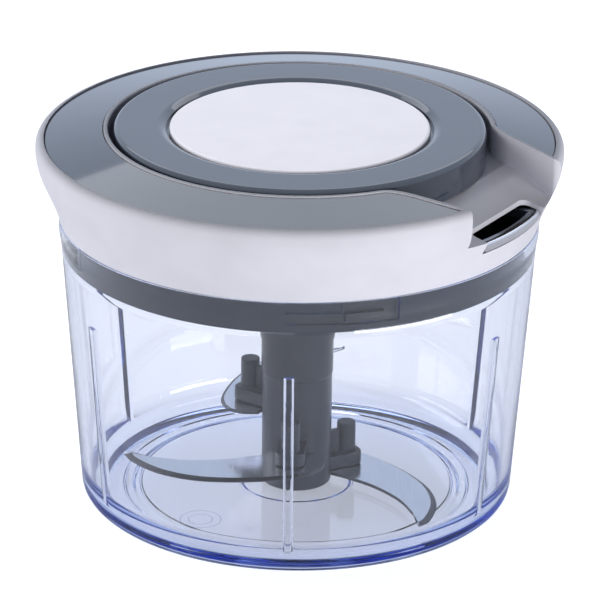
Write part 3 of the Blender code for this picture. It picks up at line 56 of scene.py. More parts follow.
Vertex = bmesh.types.BMVert
Colour = tuple[float, float, float, float]
Tree = bpy.types.NodeTree
Node = bpy.types.Node
Socket = bpy.types.NodeSocket

log = logging.getLogger("chopper")

MM = 0.001
WELD = 0.001 * MM
CLEAR = 0.3 * MM
OVERRUN = 3.0 * MM
ROOT = 0.6 * MM
WAVE_BANDS = 20
FACE_WEIGHT = 80
RIM_STEPS = 180
SHAFT_STEPS = 72
SMALL_STEPS = 32
FRONT_STEPS = 24
SHARP_ANGLE = math.radians(38)
BEVEL_ANGLE = math.radians(50)


class Body(Enum):
    """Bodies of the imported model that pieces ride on."""

    BOWL = "bowl"
    SEAL = "lid_seal"
    LID = "lid"
    BLADES = "blades"
    HANDLE = "pull_handle"


class Slot(Enum):
    """Material slots of the record."""

    CLEAR = "clear_plastic"
    WHITE = "white_plastic"
    DARK = "dark_plastic"
    GLOSS = "dark_gloss_plastic"
    STEEL = "steel"
    TRIM = "silver_trim"
    SEAL = "seal_rubber"
    CORD = "cord"


def linear(code: str) -> Colour:
    """Turns an sRGB hex colour into linear light.

    Args:
        code: Six hex digits, such as "c9cfdd".

    Returns:
        Red, green, blue and a full alpha.
    """
    parts = [int(code[start : start + 2], 16) / 255 for start in (0, 2, 4)]
    low = [part / 12.92 for part in parts]
    high = [((part + 0.055) / 1.055) ** 2.4 for part in parts]
    return (*(dark if part <= 0.04045 else light for part, dark, light in zip(parts, low, high)), 1.0)


def add_node(
    tree: Tree,
    kind: str,
    settings: dict[str | int, object] | None = None,
    links: dict[str | int, Socket] | None = None,
) -> Node:
    """Adds a node with its settings and links.

    Args:
        tree: The tree that the node goes into.
        kind: Blender's name for the node.
        settings: Values by the name of a property or an input.
        links: Output sockets by the name of the input they feed.

    Returns:
        The new node.
    """
    node = tree.nodes.new(kind)
    for name, value in (settings or {}).items():
        if isinstance(name, str) and hasattr(node, name):
            setattr(node, name, value)
        else:
            node.inputs[name].default_value = value
    for name, output in (links or {}).items():
        tree.links.new(output, node.inputs[name])
    return node


def set_sockets(node: Node, values: dict[str, object]) -> None:
    """Sets or feeds a node's inputs.

    Args:
        node: The node.
        values: Constants or output sockets by the name of the input.
    """
    for name, value in values.items():
        if isinstance(value, Socket):
            node.id_data.links.new(value, node.inputs[name])
        else:
            node.inputs[name].default_value = value


def per_metre(size_mm: float) -> float:
    """The texture scale whose features repeat about once in that many millimetres."""
    return 1.0 / (size_mm * MM)


@dataclass(frozen=True)
class Finish:
    """What all finishes share: name, base colour, how they shine, and the nodes of their patterns."""

    name: str
    colour: str
    roughness: float
    metallic: float = 0.0
    ior: float = 1.5

    def place(self, tree: Tree, stretch: tuple[float, float, float] = (1, 1, 1)) -> Socket:
        """Object coordinates, stretched along the axes."""
        source = add_node(tree, "ShaderNodeTexCoord").outputs["Object"]
        return add_node(tree, "ShaderNodeMapping", {"Scale": stretch}, {"Vector": source}).outputs[0]

    def noise(self, tree: Tree, where: Socket, size_mm: float, detail: float) -> Socket:
        """A noise pattern whose features are about that many millimetres wide."""
        settings = {"Scale": per_metre(size_mm), "Detail": detail}
        return add_node(tree, "ShaderNodeTexNoise", settings, {"Vector": where}).outputs[0]

    def varied(self, tree: Tree, source: Socket, low: str, high: str, ends: Point) -> Socket:
        """Maps a texture's value to two nearby colours.

        Args:
            tree: The material's node tree.
            source: The texture's value.
            low: Colour at the low end.
            high: Colour at the high end.
            ends: The texture's values at both ends.

        Returns:
            The colour socket.
        """
        ramp = add_node(tree, "ShaderNodeValToRGB", {}, {"Fac": source})
        first, last = ramp.color_ramp.elements
        first.position, last.position = ends
        first.color, last.color = linear(low), linear(high)
        return ramp.outputs["Color"]

    def spread(self, tree: Tree, source: Socket, low: float, high: float) -> Socket:
        """Maps a texture's value to a range of roughness."""
        settings = {"To Min": low, "To Max": high}
        return add_node(tree, "ShaderNodeMapRange", settings, {"Value": source}).outputs[0]

    def relief(
        self, tree: Tree, height: Socket, depth_mm: float, strength: float = 1.0, under: Socket | None = None
    ) -> Socket:
        """Makes a bump.

        Args:
            tree: The material's node tree.
            height: The texture's value.
            depth_mm: Its depth in millimetres.
            strength: Its share of that depth.
            under: A bump that this one lies on.

        Returns:
            The normal socket.
        """
        settings = {"Strength": strength, "Distance": depth_mm * MM}
        links = {"Height": height} if under is None else {"Height": height, "Normal": under}
        return add_node(tree, "ShaderNodeBump", settings, links).outputs[0]

    def dress(self, tree: Tree, shader: Node) -> None:
        """Adds the finish's own pattern to its shader; a plain finish has none."""

    def material(self) -> bpy.types.Material:
        """Makes the material once.

        Returns:
            The material, shared by all pieces with this finish.
        """
        found = bpy.data.materials.get(self.name)
        if found:
            return found
        made = bpy.data.materials.new(self.name)
        made.use_nodes = True
        shader = made.node_tree.nodes["Principled BSDF"]
        plain = {"Base Color": linear(self.colour), "Roughness": self.roughness}
        set_sockets(shader, plain | {"Metallic": self.metallic, "IOR": self.ior})
        self.dress(made.node_tree, shader)
        return made


@dataclass(frozen=True)
class MouldedPlastic(Finish):
    """Opaque plastic from a mould: a faint grain off the tool, and slow waves where the melt flowed."""

    deep_colour: str = "808080"
    mottle: Point = (0.3, 0.62)
    grain_mm: float = 0.5
    grain_depth_mm: float = 0.004
    wave_mm: float = 14.0
    wave_depth_mm: float = 0.012
    gloss_spread: float = 0.06
    coat: float = 0.0
    coat_roughness: float = 0.03

    def dress(self, tree: Tree, shader: Node) -> None:
        """Adds the mottle, the tool's grain and the flow waves.

        Args:
            tree: The material's node tree.
            shader: Its Principled node.
        """
        where = self.place(tree)
        wave = self.noise(tree, where, self.wave_mm, detail=2.0)
        grain = self.noise(tree, where, self.grain_mm, detail=3.0)
        low = max(0.0, self.roughness - self.gloss_spread)
        slow = self.relief(tree, wave, self.wave_depth_mm)
        values = {
            "Base Color": self.varied(tree, wave, self.deep_colour, self.colour, self.mottle),
            "Roughness": self.spread(tree, grain, low, self.roughness + self.gloss_spread),
            "Normal": self.relief(tree, grain, self.grain_depth_mm, under=slow),
            "Coat Weight": self.coat,
            "Coat Roughness": self.coat_roughness,
        }
        set_sockets(shader, values)


@dataclass(frozen=True)
class ClearPlastic(Finish):
    """Clear SAN from a polished mould: glossy, with flow waves, and blue where light runs along inside."""

    tint: str = "5b98ea"
    density: float = 36.0
    shadow: str = "f2f4fb"
    wave_mm: float = 22.0
    wave_depth_mm: float = 0.02

    def dress(self, tree: Tree, shader: Node) -> None:
        """Makes the shader clear, tints its depth, and lets the lamps' light through.

        Args:
            tree: The material's node tree.
            shader: Its Principled node.
        """
        wave = self.noise(tree, self.place(tree), self.wave_mm, detail=1.0)
        bump = self.relief(tree, wave, self.wave_depth_mm)
        set_sockets(shader, {"Transmission Weight": 1.0, "Normal": bump})
        shadow = add_node(tree, "ShaderNodeLightPath").outputs["Is Shadow Ray"]
        through = add_node(tree, "ShaderNodeBsdfTransparent", {"Color": linear(self.shadow)}).outputs[0]
        mixed = add_node(tree, "ShaderNodeMixShader", {}, {0: shadow, 1: shader.outputs[0], 2: through})
        settings = {"Color": linear(self.tint), "Density": self.density}
        depth = add_node(tree, "ShaderNodeVolumeAbsorption", settings)
        output = next(node for node in tree.nodes if node.type == "OUTPUT_MATERIAL")
        set_sockets(output, {"Surface": mixed.outputs[0], "Volume": depth.outputs[0]})


@dataclass(frozen=True)
class GroundSteel(Finish):
    """Stainless sheet or rod, ground with a belt: fine parallel scratches that stretch its highlights."""

    deep_colour: str = "9a9a9c"
    streaks: Point = (0.3, 0.7)
    scratch_mm: float = 0.25
    scratch_depth_mm: float = 0.0025
    smoother: float = 0.08
    rougher: float = 0.1
    along: tuple[float, float, float] = (1.0, 0.025, 1.0)

    def dress(self, tree: Tree, shader: Node) -> None:
        """Adds the scratches to colour, gloss and relief.

        Args:
            tree: The material's node tree.
            shader: Its Principled node.
        """
        scratch = self.noise(tree, self.place(tree, self.along), self.scratch_mm, detail=4.0)
        low, high = self.roughness - self.smoother, self.roughness + self.rougher
        values = {
            "Base Color": self.varied(tree, scratch, self.deep_colour, self.colour, self.streaks),
            "Roughness": self.spread(tree, scratch, low, high),
            "Normal": self.relief(tree, scratch, self.scratch_depth_mm),
        }
        set_sockets(shader, values)


@dataclass(frozen=True)
class BraidedCord(Finish):
    """Braided nylon cord: two sets of strands that cross, with painted shade in the hollows between them."""

    deep_colour: str = "8f8f8b"
    painted_dip_shade: Point = (0.1, 0.7)
    strand_mm: float = 0.5
    strand_depth_mm: float = 0.1
    strand_strength: float = 0.8
    unevenness: float = 0.4
    sheen: float = 0.3

    def strands(self, tree: Tree, lean: float) -> Socket:
        """Makes one set of strands.

        Args:
            tree: The material's node tree.
            lean: 1 or -1, for the way they lean.

        Returns:
            The value socket.
        """
        scale = per_metre(self.strand_mm) / WAVE_BANDS
        settings = {"bands_direction": "DIAGONAL", "Scale": scale, "Distortion": self.unevenness}
        where = self.place(tree, (1.0, lean, 1.0))
        return add_node(tree, "ShaderNodeTexWave", settings, {"Vector": where}).outputs["Fac"]

    def dress(self, tree: Tree, shader: Node) -> None:
        """Adds crossing bands of strands, with painted shade in the hollows between them.

        Args:
            tree: The material's node tree.
            shader: Its Principled node.
        """
        bands = {0: self.strands(tree, 1.0), 1: self.strands(tree, -1.0)}
        weave = add_node(tree, "ShaderNodeMath", {"operation": "MAXIMUM"}, bands).outputs[0]
        # The darker colour in the hollows between strands is painted shade.
        colour = self.varied(tree, weave, self.deep_colour, self.colour, self.painted_dip_shade)
        bump = self.relief(tree, weave, self.strand_depth_mm, self.strand_strength)
        set_sockets(shader, {"Base Color": colour, "Normal": bump, "Sheen Weight": self.sheen})


# Styrene-acrylonitrile, the usual clear bowl plastic: bends light more than acrylic, and blue at its edges.
CLEAR_SAN = ClearPlastic("clear_san_moulded", "ffffff", 0.0, ior=1.57)
# ABS with white pigment from a fine-grained mould: satin, so its highlights are soft and wide.
WHITE_ABS = MouldedPlastic("white_abs_satin_moulded", "e6e5ee", 0.34, deep_colour="e1e0e9", grain_mm=0.45)
# ABS in slate grey from a polished mould: mirrors the studio like still water.
GLOSS_ABS = MouldedPlastic(
    "slate_abs_polished_moulded", "3c434f", 0.07, deep_colour="383f4b", grain_depth_mm=0.0006,
    wave_depth_mm=0.006, gloss_spread=0.02, coat=0.4, ior=1.54,
)
# The same ABS from a plain mould: an even half-gloss for the parts inside.
DARK_ABS = MouldedPlastic(
    "slate_abs_plain_moulded", "24282f", 0.3, deep_colour="21252c", grain_depth_mm=0.003, ior=1.4
)
# ABS in white from a polished mould, for the disc: brighter and smoother than the cover.
DISC_ABS = MouldedPlastic(
    "white_abs_polished_moulded", "f0eef6", 0.16, deep_colour="eceaf3", grain_depth_mm=0.001, coat=0.3
)
# Stainless steel sheet, belt ground along the blade: bright with a soft streak.
BLADE_STEEL = GroundSteel(
    "stainless_sheet_belt_ground", "f6f7f9", 0.16, metallic=1.0, deep_colour="ecedf1",
    scratch_depth_mm=0.0012,
)
# The same steel where the teeth were ground in: rough, with painted shade in its darker colour, so the blade's
# edge faces look dark beside the sheet's face.
EDGE_STEEL_PAINTED_SHADE = GroundSteel(
    "stainless_edge_toothed_painted_shade", "6d6e73", 0.42, metallic=1.0, deep_colour="515257", along=(1.0, 1.0, 1.0)
)
# Zinc-plated or turned steel of screws, pins and clips: a round grain from the lathe.
TURNED_STEEL = GroundSteel(
    "steel_turned", "bdbdc0", 0.3, metallic=1.0, along=(1.0, 1.0, 0.05), scratch_mm=0.15
)
# Satin chrome on ABS: softer than mirror chrome.
SATIN_CHROME = GroundSteel(
    "satin_chrome_plated", "dcdde3", 0.22, metallic=0.75, deep_colour="d2d3d9", scratch_mm=0.5,
    scratch_depth_mm=0.0006, along=(1.0, 1.0, 1.0),
)
# Soft thermoplastic rubber of the seal: matte and slightly uneven.
SEAL_RUBBER = MouldedPlastic(
    "thermoplastic_rubber_moulded", "3a3b3f", 0.62, deep_colour="333438", grain_mm=0.3
)
# Natural nylon of bearings and reel: milky and half matte.
NATURAL_NYLON = MouldedPlastic("nylon_natural_moulded", "d6d6cd", 0.45, deep_colour="cdcdc3", grain_mm=0.4)
# Braided nylon cord, off-white, with painted shade between its strands.
NYLON_CORD = BraidedCord("nylon_cord_braided", "dededb", 0.75)


def bevelled(
    shape: Mesh, picked: Sequence[Edge | Vertex], width: float, segments: int = 2, affect: str = "EDGES"
) -> Mesh:
    """Rounds some edges or corners of a shape.

    Args:
        shape: The shape, changed in place.
        picked: The edges or vertices to round.
        width: The rounding's width.
        segments: Straight pieces in the rounding.
        affect: EDGES or VERTICES.

    Returns:
        The same shape.
    """
    bmesh.ops.bevel(
        shape,
        geom=list(picked),
        offset=width,
        offset_type="OFFSET",
        segments=segments,
        profile=0.5,
        affect=affect,
        clamp_overlap=affect == "EDGES",
        material=-1,
    )
    return shape


def turned(shape: Mesh, angle: float, axis: str = "Z") -> Mesh:
    """The shape, turned about an axis through the origin."""
    bmesh.ops.rotate(shape, verts=shape.verts, cent=(0, 0, 0), matrix=Matrix.Rotation(angle, 3, axis))
    return shape


def moved(shape: Mesh, way: Sequence[float]) -> Mesh:
    """The shape, moved that way."""
    bmesh.ops.translate(shape, verts=shape.verts, vec=Vector(way))
    return shape


def on_its_side(shape: Mesh, along: float, height: float) -> Mesh:
    """An upright shape, laid along X and moved to that place."""
    return moved(turned(shape, math.pi / 2, "Y"), (along, 0.0, height))


def wire(corners: Sequence[Corner], closed: bool, segments: int) -> Mesh:
    """Draws an outline in the XZ plane and rounds its corners.

    Args:
        corners: (radius, height) or (radius, height, rounding) of each corner, in metres.
        closed: True if the last corner joins the first.
        segments: Straight pieces in each rounding.

    Returns:
        A mesh of edges only.
    """
    shape = bmesh.new()
    points = [shape.verts.new((corner[0], 0.0, corner[1])) for corner in corners]
    for pair in zip(points, points[1:] + points[:1] if closed else points[1:]):
        shape.edges.new(pair)
    roundings = [corner[2] if len(corner) > 2 else None for corner in corners]
    for width in sorted(set(roundings) - {None}):
        picked = [point for point, rounding in zip(points, roundings) if rounding == width]
        bevelled(shape, picked, width, segments, "VERTICES")
    return shape


def spun(corners: Sequence[Corner], steps: int = RIM_STEPS, segments: int = 4) -> Mesh:
    """Turns an outline once about Z.

    Args:
        corners: The outline, as wire() takes it. One that starts and ends on the axis is left open there.
        steps: Steps in the turn.
        segments: Straight pieces in each rounding.

    Returns:
        The closed solid.
    """
    closed = corners[0][0] > 0 or corners[-1][0] > 0
    shape = wire(corners, closed, segments)
    bmesh.ops.spin(
        shape,
        geom=shape.verts[:] + shape.edges[:],
        cent=(0, 0, 0),
        axis=(0, 0, 1),
        angle=math.tau,
        steps=steps,
        use_merge=True,
    )
    bmesh.ops.remove_doubles(shape, verts=shape.verts, dist=WELD)
    bmesh.ops.recalc_face_normals(shape, faces=shape.faces)
    return shape


def raised(outline: Iterable[Point], bottom: float, top: float) -> Mesh:
    """Extrudes a flat outline upwards.

    Args:
        outline: (x, y) of each corner.
        bottom: Height of the lower face.
        top: Height of the upper face.

    Returns:
        The closed solid.
    """
    shape = bmesh.new()
    base = shape.faces.new([shape.verts.new((x, y, bottom)) for x, y in outline])
    grown = bmesh.ops.extrude_face_region(shape, geom=[base], use_keep_orig=True)
    lifted = [item for item in grown["geom"] if isinstance(item, Vertex)]
    bmesh.ops.translate(shape, verts=lifted, vec=(0.0, 0.0, top - bottom))
    bmesh.ops.recalc_face_normals(shape, faces=shape.faces)
    return shape


def drum(
    radius: float, bottom: float, top: float, steps: int = SMALL_STEPS, centre: Point = (0.0, 0.0)
) -> Mesh:
    """Makes an upright cylinder.

    Args:
        radius: Its radius.
        bottom: Height of its lower face.
        top: Height of its upper face.
        steps: Steps round it.
        centre: Its place seen from above.

    Returns:
        The closed solid.
    """
    shape = bmesh.new()
    size = {"radius1": radius, "radius2": radius, "depth": top - bottom}
    bmesh.ops.create_cone(shape, cap_ends=True, segments=steps, **size)
    return moved(shape, (*centre, (bottom + top) / 2))


def block(along: Point, half: float, heights: Point) -> Mesh:
    """Makes a box, evenly about the X axis seen from above.

    Args:
        along: Where it starts and ends along X.
        half: Half its width.
        heights: Heights of its lower and upper face.

    Returns:
        The closed solid.
    """
    shape = bmesh.new()
    bmesh.ops.create_cube(shape, size=1.0)
    size = (along[1] - along[0], 2 * half, heights[1] - heights[0])
    bmesh.ops.scale(shape, verts=shape.verts, vec=Vector(size))
    return moved(shape, (sum(along) / 2, 0.0, sum(heights) / 2))


def sharp_edges(shape: Mesh, angle: float = BEVEL_ANGLE) -> list[Edge]:
    """Edges where two faces meet more sharply than the angle."""
    return [edge for edge in shape.edges if len(edge.link_faces) == 2 and edge.calc_face_angle(0.0) > angle]


def upright_edges(shape: Mesh) -> list[Edge]:
    """Edges whose two ends lie at different heights."""
    return [edge for edge in shape.edges if abs(edge.verts[0].co.z - edge.verts[1].co.z) > WELD]


def highest(edge: Edge, axis: str) -> float:
    """The larger coordinate of an edge's two ends."""
    return max(getattr(vert.co, axis) for vert in edge.verts)


def lowest(edge: Edge, axis: str) -> float:
    """The smaller coordinate of an edge's two ends."""
    return min(getattr(vert.co, axis) for vert in edge.verts)


def together(shapes: Iterable[Mesh]) -> Mesh:
    """Joins several separate shapes.

    Args:
        shapes: The shapes, freed here.

    Returns:
        One mesh that holds them all.
    """
    whole = bmesh.new()
    for shape in shapes:
        step = bpy.data.meshes.new("step")
        shape.to_mesh(step)
        shape.free()
        whole.from_mesh(step)
        bpy.data.meshes.remove(step)
    return whole


def repeated(build: Callable[[], Mesh], count: int, first: float = 0.0) -> Mesh:
    """Equal copies of a shape, spread evenly about Z."""
    return together(turned(build(), first + index * math.tau / count) for index in range(count))


def polar(radius: float, angle: float) -> Point:
    """The point at that radius and angle."""
    return (radius * math.cos(angle), radius * math.sin(angle))


def arc(radius: float, start: float, end: float, steps: int, centre: Point = (0.0, 0.0)) -> list[Point]:
    """Points along part of a circle, both ends included."""
    angles = (start + (end - start) * index / steps for index in range(steps + 1))
    return [(centre[0] + x, centre[1] + y) for x, y in (polar(radius, angle) for angle in angles)]


def spline(points: Sequence[Point], steps: int) -> list[Point]:
    """Draws a smooth curve through some points by the Catmull-Rom rule.

    Args:
        points: The points, in order.
        steps: Straight pieces between two of them.

    Returns:
        Points along the curve.
    """
    padded = [Vector(points[0]), *map(Vector, points), Vector(points[-1])]
    found = []
    for before, start, end, after in zip(padded, padded[1:], padded[2:], padded[3:]):
        for index in range(steps):
            t = index / steps
            bend = 2 * start + (end - before) * t
            bend += (2 * before - 5 * start + 4 * end - after) * t**2
            bend += (3 * start - before - 3 * end + after) * t**3
            found.append(tuple(bend / 2))
    found.append(tuple(points[-1]))
    return found


def sector(
    inner: float, outer: float, start: float, end: float, bottom: float, top: float, steps: int = 12
) -> Mesh:
    """Part of a ring, between two radii, two angles and two heights."""
    return raised(arc(outer, start, end, steps) + arc(inner, end, start, steps), bottom, top)


class Builder:
    """Turns shapes into finished pieces and runs their cuts."""

    def piece(self, name: str, shape: Mesh) -> bpy.types.Object:
        """Makes an object at the origin from a shape.

        Args:
            name: The piece's name.
            shape: The shape, freed here.

        Returns:
            The new object.
        """
        mesh = bpy.data.meshes.new(name)
        shape.to_mesh(mesh)
        shape.free()
        made = bpy.data.objects.new(name, mesh)
        bpy.context.scene.collection.objects.link(made)
        return made

    def discard(self, passing: bpy.types.Object) -> None:
        """Removes an object together with its mesh.

        Args:
            passing: The object.
        """
        mesh = passing.data
        bpy.data.objects.remove(passing)
        bpy.data.meshes.remove(mesh)

    def cut(self, target: bpy.types.Object, shape: Mesh, operation: str = "DIFFERENCE") -> None:
        """Applies an exact Boolean and removes its tool.

        Args:
            target: The object that changes.
            shape: The tool's shape, freed here.
            operation: DIFFERENCE, UNION or INTERSECT.
        """
        tool = self.piece("tool", shape)
        modifier = target.modifiers.new("cut", "BOOLEAN")
        modifier.operation = operation
        modifier.solver = "EXACT"
        modifier.object = tool
        graph = bpy.context.evaluated_depsgraph_get()
        result = bpy.data.meshes.new_from_object(target.evaluated_get(graph))
        target.modifiers.clear()
        old = target.data
        target.data = result
        bpy.data.meshes.remove(old)
        self.discard(tool)

    def shape_of(self, name: str, shape: Mesh, *cuts: tuple[Mesh, str]) -> Mesh:
        """Applies Booleans to a shape that is itself a tool or needs more work.

        Args:
            name: A name for the passing object.
            shape: The shape, freed here.
            cuts: Tools with their operations.

        Returns:
            The result as a new shape.
        """
        passing = self.piece(name, shape)
        for tool, operation in cuts:
            self.cut(passing, tool, operation)
        result = bmesh.new()
        result.from_mesh(passing.data)
        self.discard(passing)
        return result

    def edge_rounding(self, target: bpy.types.Object, width: float, segments: int = 2) -> None:
        """Rounds a piece's sharp edges by a small width.

        Args:
            target: The piece.
            width: The rounding's width.
            segments: Straight pieces in the rounding.
        """
        shape = bmesh.new()
        shape.from_mesh(target.data)
        near = 10 * WELD
        bmesh.ops.remove_doubles(shape, verts=shape.verts, dist=near)
        bmesh.ops.dissolve_degenerate(shape, edges=shape.edges, dist=near)
        bevelled(shape, sharp_edges(shape), width, segments)
        shape.to_mesh(target.data)
        shape.free()

    def shaded(self, made: bpy.types.Object, finish: Finish) -> None:
        """Gives a piece its finish and smooth shading between its sharp edges.

        Args:
            made: The piece.
            finish: Its finish.
        """
        made.data.materials.clear()
        made.data.materials.append(finish.material())
        made.data.shade_smooth()
        made.data.set_sharp_from_angle(angle=SHARP_ANGLE)

    def finished(
        self, made: bpy.types.Object, finish: Finish, body: Body, slot: Slot, *nodes: str
    ) -> bpy.types.Object:
        """Shades, colours and places a piece on its body, and reports it.

        Args:
            made: The piece.
            finish: Its finish.
            body: The body it rides on.
            slot: The record's slot its finish stands for; not used.
            nodes: CAD nodes that it stands for.

        Returns:
            The same piece.
        """
        self.shaded(made, finish)
        weighted = made.modifiers.new("even_normals", "WEIGHTED_NORMAL")
        weighted.keep_sharp = True
        weighted.weight = FACE_WEIGHT
        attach(made, body.value)
        if nodes:
            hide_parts(*nodes)
        log.info("%s: %d faces", made.name, len(made.data.polygons))
        return made


@dataclass
class LidSizes:
    """Sizes that the cover, inlay, cap, base and handle share."""

    pull_angle: float = math.radians(-31.5)
    rim_radius: float = 75.0 * MM
    cover_bottom: float = 85.4 * MM
    cover_bottom_radius: float = 68.5 * MM
    rim_height: float = 106.0 * MM
    wall: float = 2.0 * MM
    well_radius: float = 54.4 * MM
    well_floor: float = 102.2 * MM
    cap_top: float = 112.0 * MM
    inlay_outer: float = 72.4 * MM
    inlay_inner: float = 55.9 * MM
    inlay_outer_height: float = 108.0 * MM
    inlay_inner_height: float = 111.0 * MM
    plate_bottom: float = 86.6 * MM
    plate_top: float = 88.6 * MM
    handle_bottom: float = 92.9 * MM
    handle_top: float = 95.5 * MM
    handle_half_width: float = 15.5 * MM
    handle_back: float = 49.5 * MM
    handle_bar: float = 4.5 * MM
    handle_side: float = 2.4 * MM
    trim_radius: float = 71.4 * MM
    trim_depth: float = 1.2 * MM
    cord_height: float = 94.2 * MM
    cord_radius: float = 0.6 * MM
    guide_end: float = 47.0 * MM

    def deck(self, radius: float) -> float:
        """Height of the inlay's sloping face at a radius."""
        share = (self.inlay_outer - radius) / (self.inlay_outer - self.inlay_inner)
        return self.inlay_outer_height + (self.inlay_inner_height - self.inlay_outer_height) * share


@dataclass
class Gap:
    """The gap in the flared rim, drawn in the pull frame as (along, across)."""

    lid: LidSizes
    start: float = 40.0 * MM
    inner_along: float = 48.4 * MM
    inner_half: float = 28.0 * MM
    outer_along: float = 71.3 * MM
    outer_half: float = 23.2 * MM
    corner: float = 5.0 * MM
    mouth_round: float = 1.6 * MM
    mouth_length_share: float = 1.5
    mouth_flare: float = 1.1
    mouth_power: float = 2.2
    mouth_slope: float = 1.2
    floor_starts: float = 52.0 * MM
    floor_ends: float = 72.0 * MM
    floor_fall: float = 6.1 * MM
    floor_shares: tuple[Point, ...] = (
        (0.0, 0.0), (0.2, 0.15), (0.4, 0.41), (0.6, 0.66), (0.8, 0.85), (1.0, 1.0),
    )
    floor_steps: int = 4
    steps: int = 8

    def side(self, grow: float, mouth: bool) -> list[Point]:
        """Draws one side: the rounded corner at the well, the straight wall, and the rounded mouth.

        Args:
            grow: How far the side moves outwards.
            mouth: True to round the wall's outer end.

        Returns:
            Points from the well outwards.
        """
        slope = (self.outer_half - self.inner_half) / (self.outer_along - self.inner_along)
        corner = Vector((self.inner_along, self.inner_half))
        around = math.atan2(corner.y, corner.x) + self.corner / self.lid.well_radius
        first = Vector(polar(self.lid.well_radius, around))
        last = corner + Vector((self.corner, self.corner * slope))
        points = []
        for index in range(self.steps + 1):
            t = index / self.steps
            points.append(first * (1 - t) ** 2 + corner * 2 * t * (1 - t) + last * t**2)
        found = [(point.x, point.y + grow) for point in points]
        far = self.lid.rim_radius + OVERRUN
        if not mouth:
            return [*found, (far, self.inner_half + slope * (far - self.inner_along) + grow)]
        end = self.lid.rim_radius * math.cos(math.asin(self.outer_half / self.lid.rim_radius))
        length = self.mouth_round * self.mouth_length_share
        begin = end - length
        half = self.inner_half + slope * (begin - self.inner_along) + grow
        found.append((begin, half))
        for index in range(1, self.steps + 1):
            t = index / self.steps
            flare = self.mouth_round * t**self.mouth_power * self.mouth_flare
            found.append((begin + length * t, half + flare))
        found.append((far, found[-1][1] + (far - end) * self.mouth_slope))
        return found

    def outline(self, grow: float = 0.0, mouth: bool = False) -> list[Point]:
        """The whole outline seen from above."""
        side = [(self.start, self.inner_half + grow), *self.side(grow, mouth)]
        return [(along, -across) for along, across in side] + side[::-1]

    def tool(self, builder: Builder, grow: float, drop: float, fillet: float) -> Mesh:
        """Makes the solid of the gap over its sloping floor.

        Args:
            builder: Runs the Boolean.
            grow: How far its walls move outwards.
            drop: How far its floor moves down.
            fillet: Rounding between floor and walls.

        Returns:
            The solid, turned to the pull direction.
        """
        lid = self.lid
        top = lid.cap_top + OVERRUN
        body = raised(self.outline(grow, not grow), lid.well_floor - 2 * self.floor_fall, top)
        run = self.floor_ends - self.floor_starts
        floor = [
            (self.floor_starts + run * along, lid.well_floor - self.floor_fall * down - drop)
            for along, down in spline(self.floor_shares, self.floor_steps)
        ]
        end = lid.rim_radius + 2 * OVERRUN
        before, last = floor[-1 - self.floor_steps], floor[-1]
        slope = (last[1] - before[1]) / (last[0] - before[0])
        begin = self.start - OVERRUN
        outline = [(begin, lid.well_floor - drop), *floor, (end, last[1] + slope * (end - last[0]))]
        outline += [(end, top + OVERRUN), (begin, top + OVERRUN)]
        wide = self.inner_half + self.corner + grow + 2 * OVERRUN
        above = raised([(along, -height) for along, height in outline], -wide, wide)
        bmesh.ops.recalc_face_normals(turned(above, -math.pi / 2, "X"), faces=above.faces)
        shape = builder.shape_of("gap_tool", body, (above, "INTERSECT"))
        if fillet:
            low = [
                edge
                for edge in sharp_edges(shape)
                if highest(edge, "z") < lid.well_floor + CLEAR
                and lowest(edge, "x") > self.start + CLEAR
                and highest(edge, "x") < end - CLEAR
            ]
            bevelled(shape, low, fillet, segments=5)
        return turned(shape, lid.pull_angle)


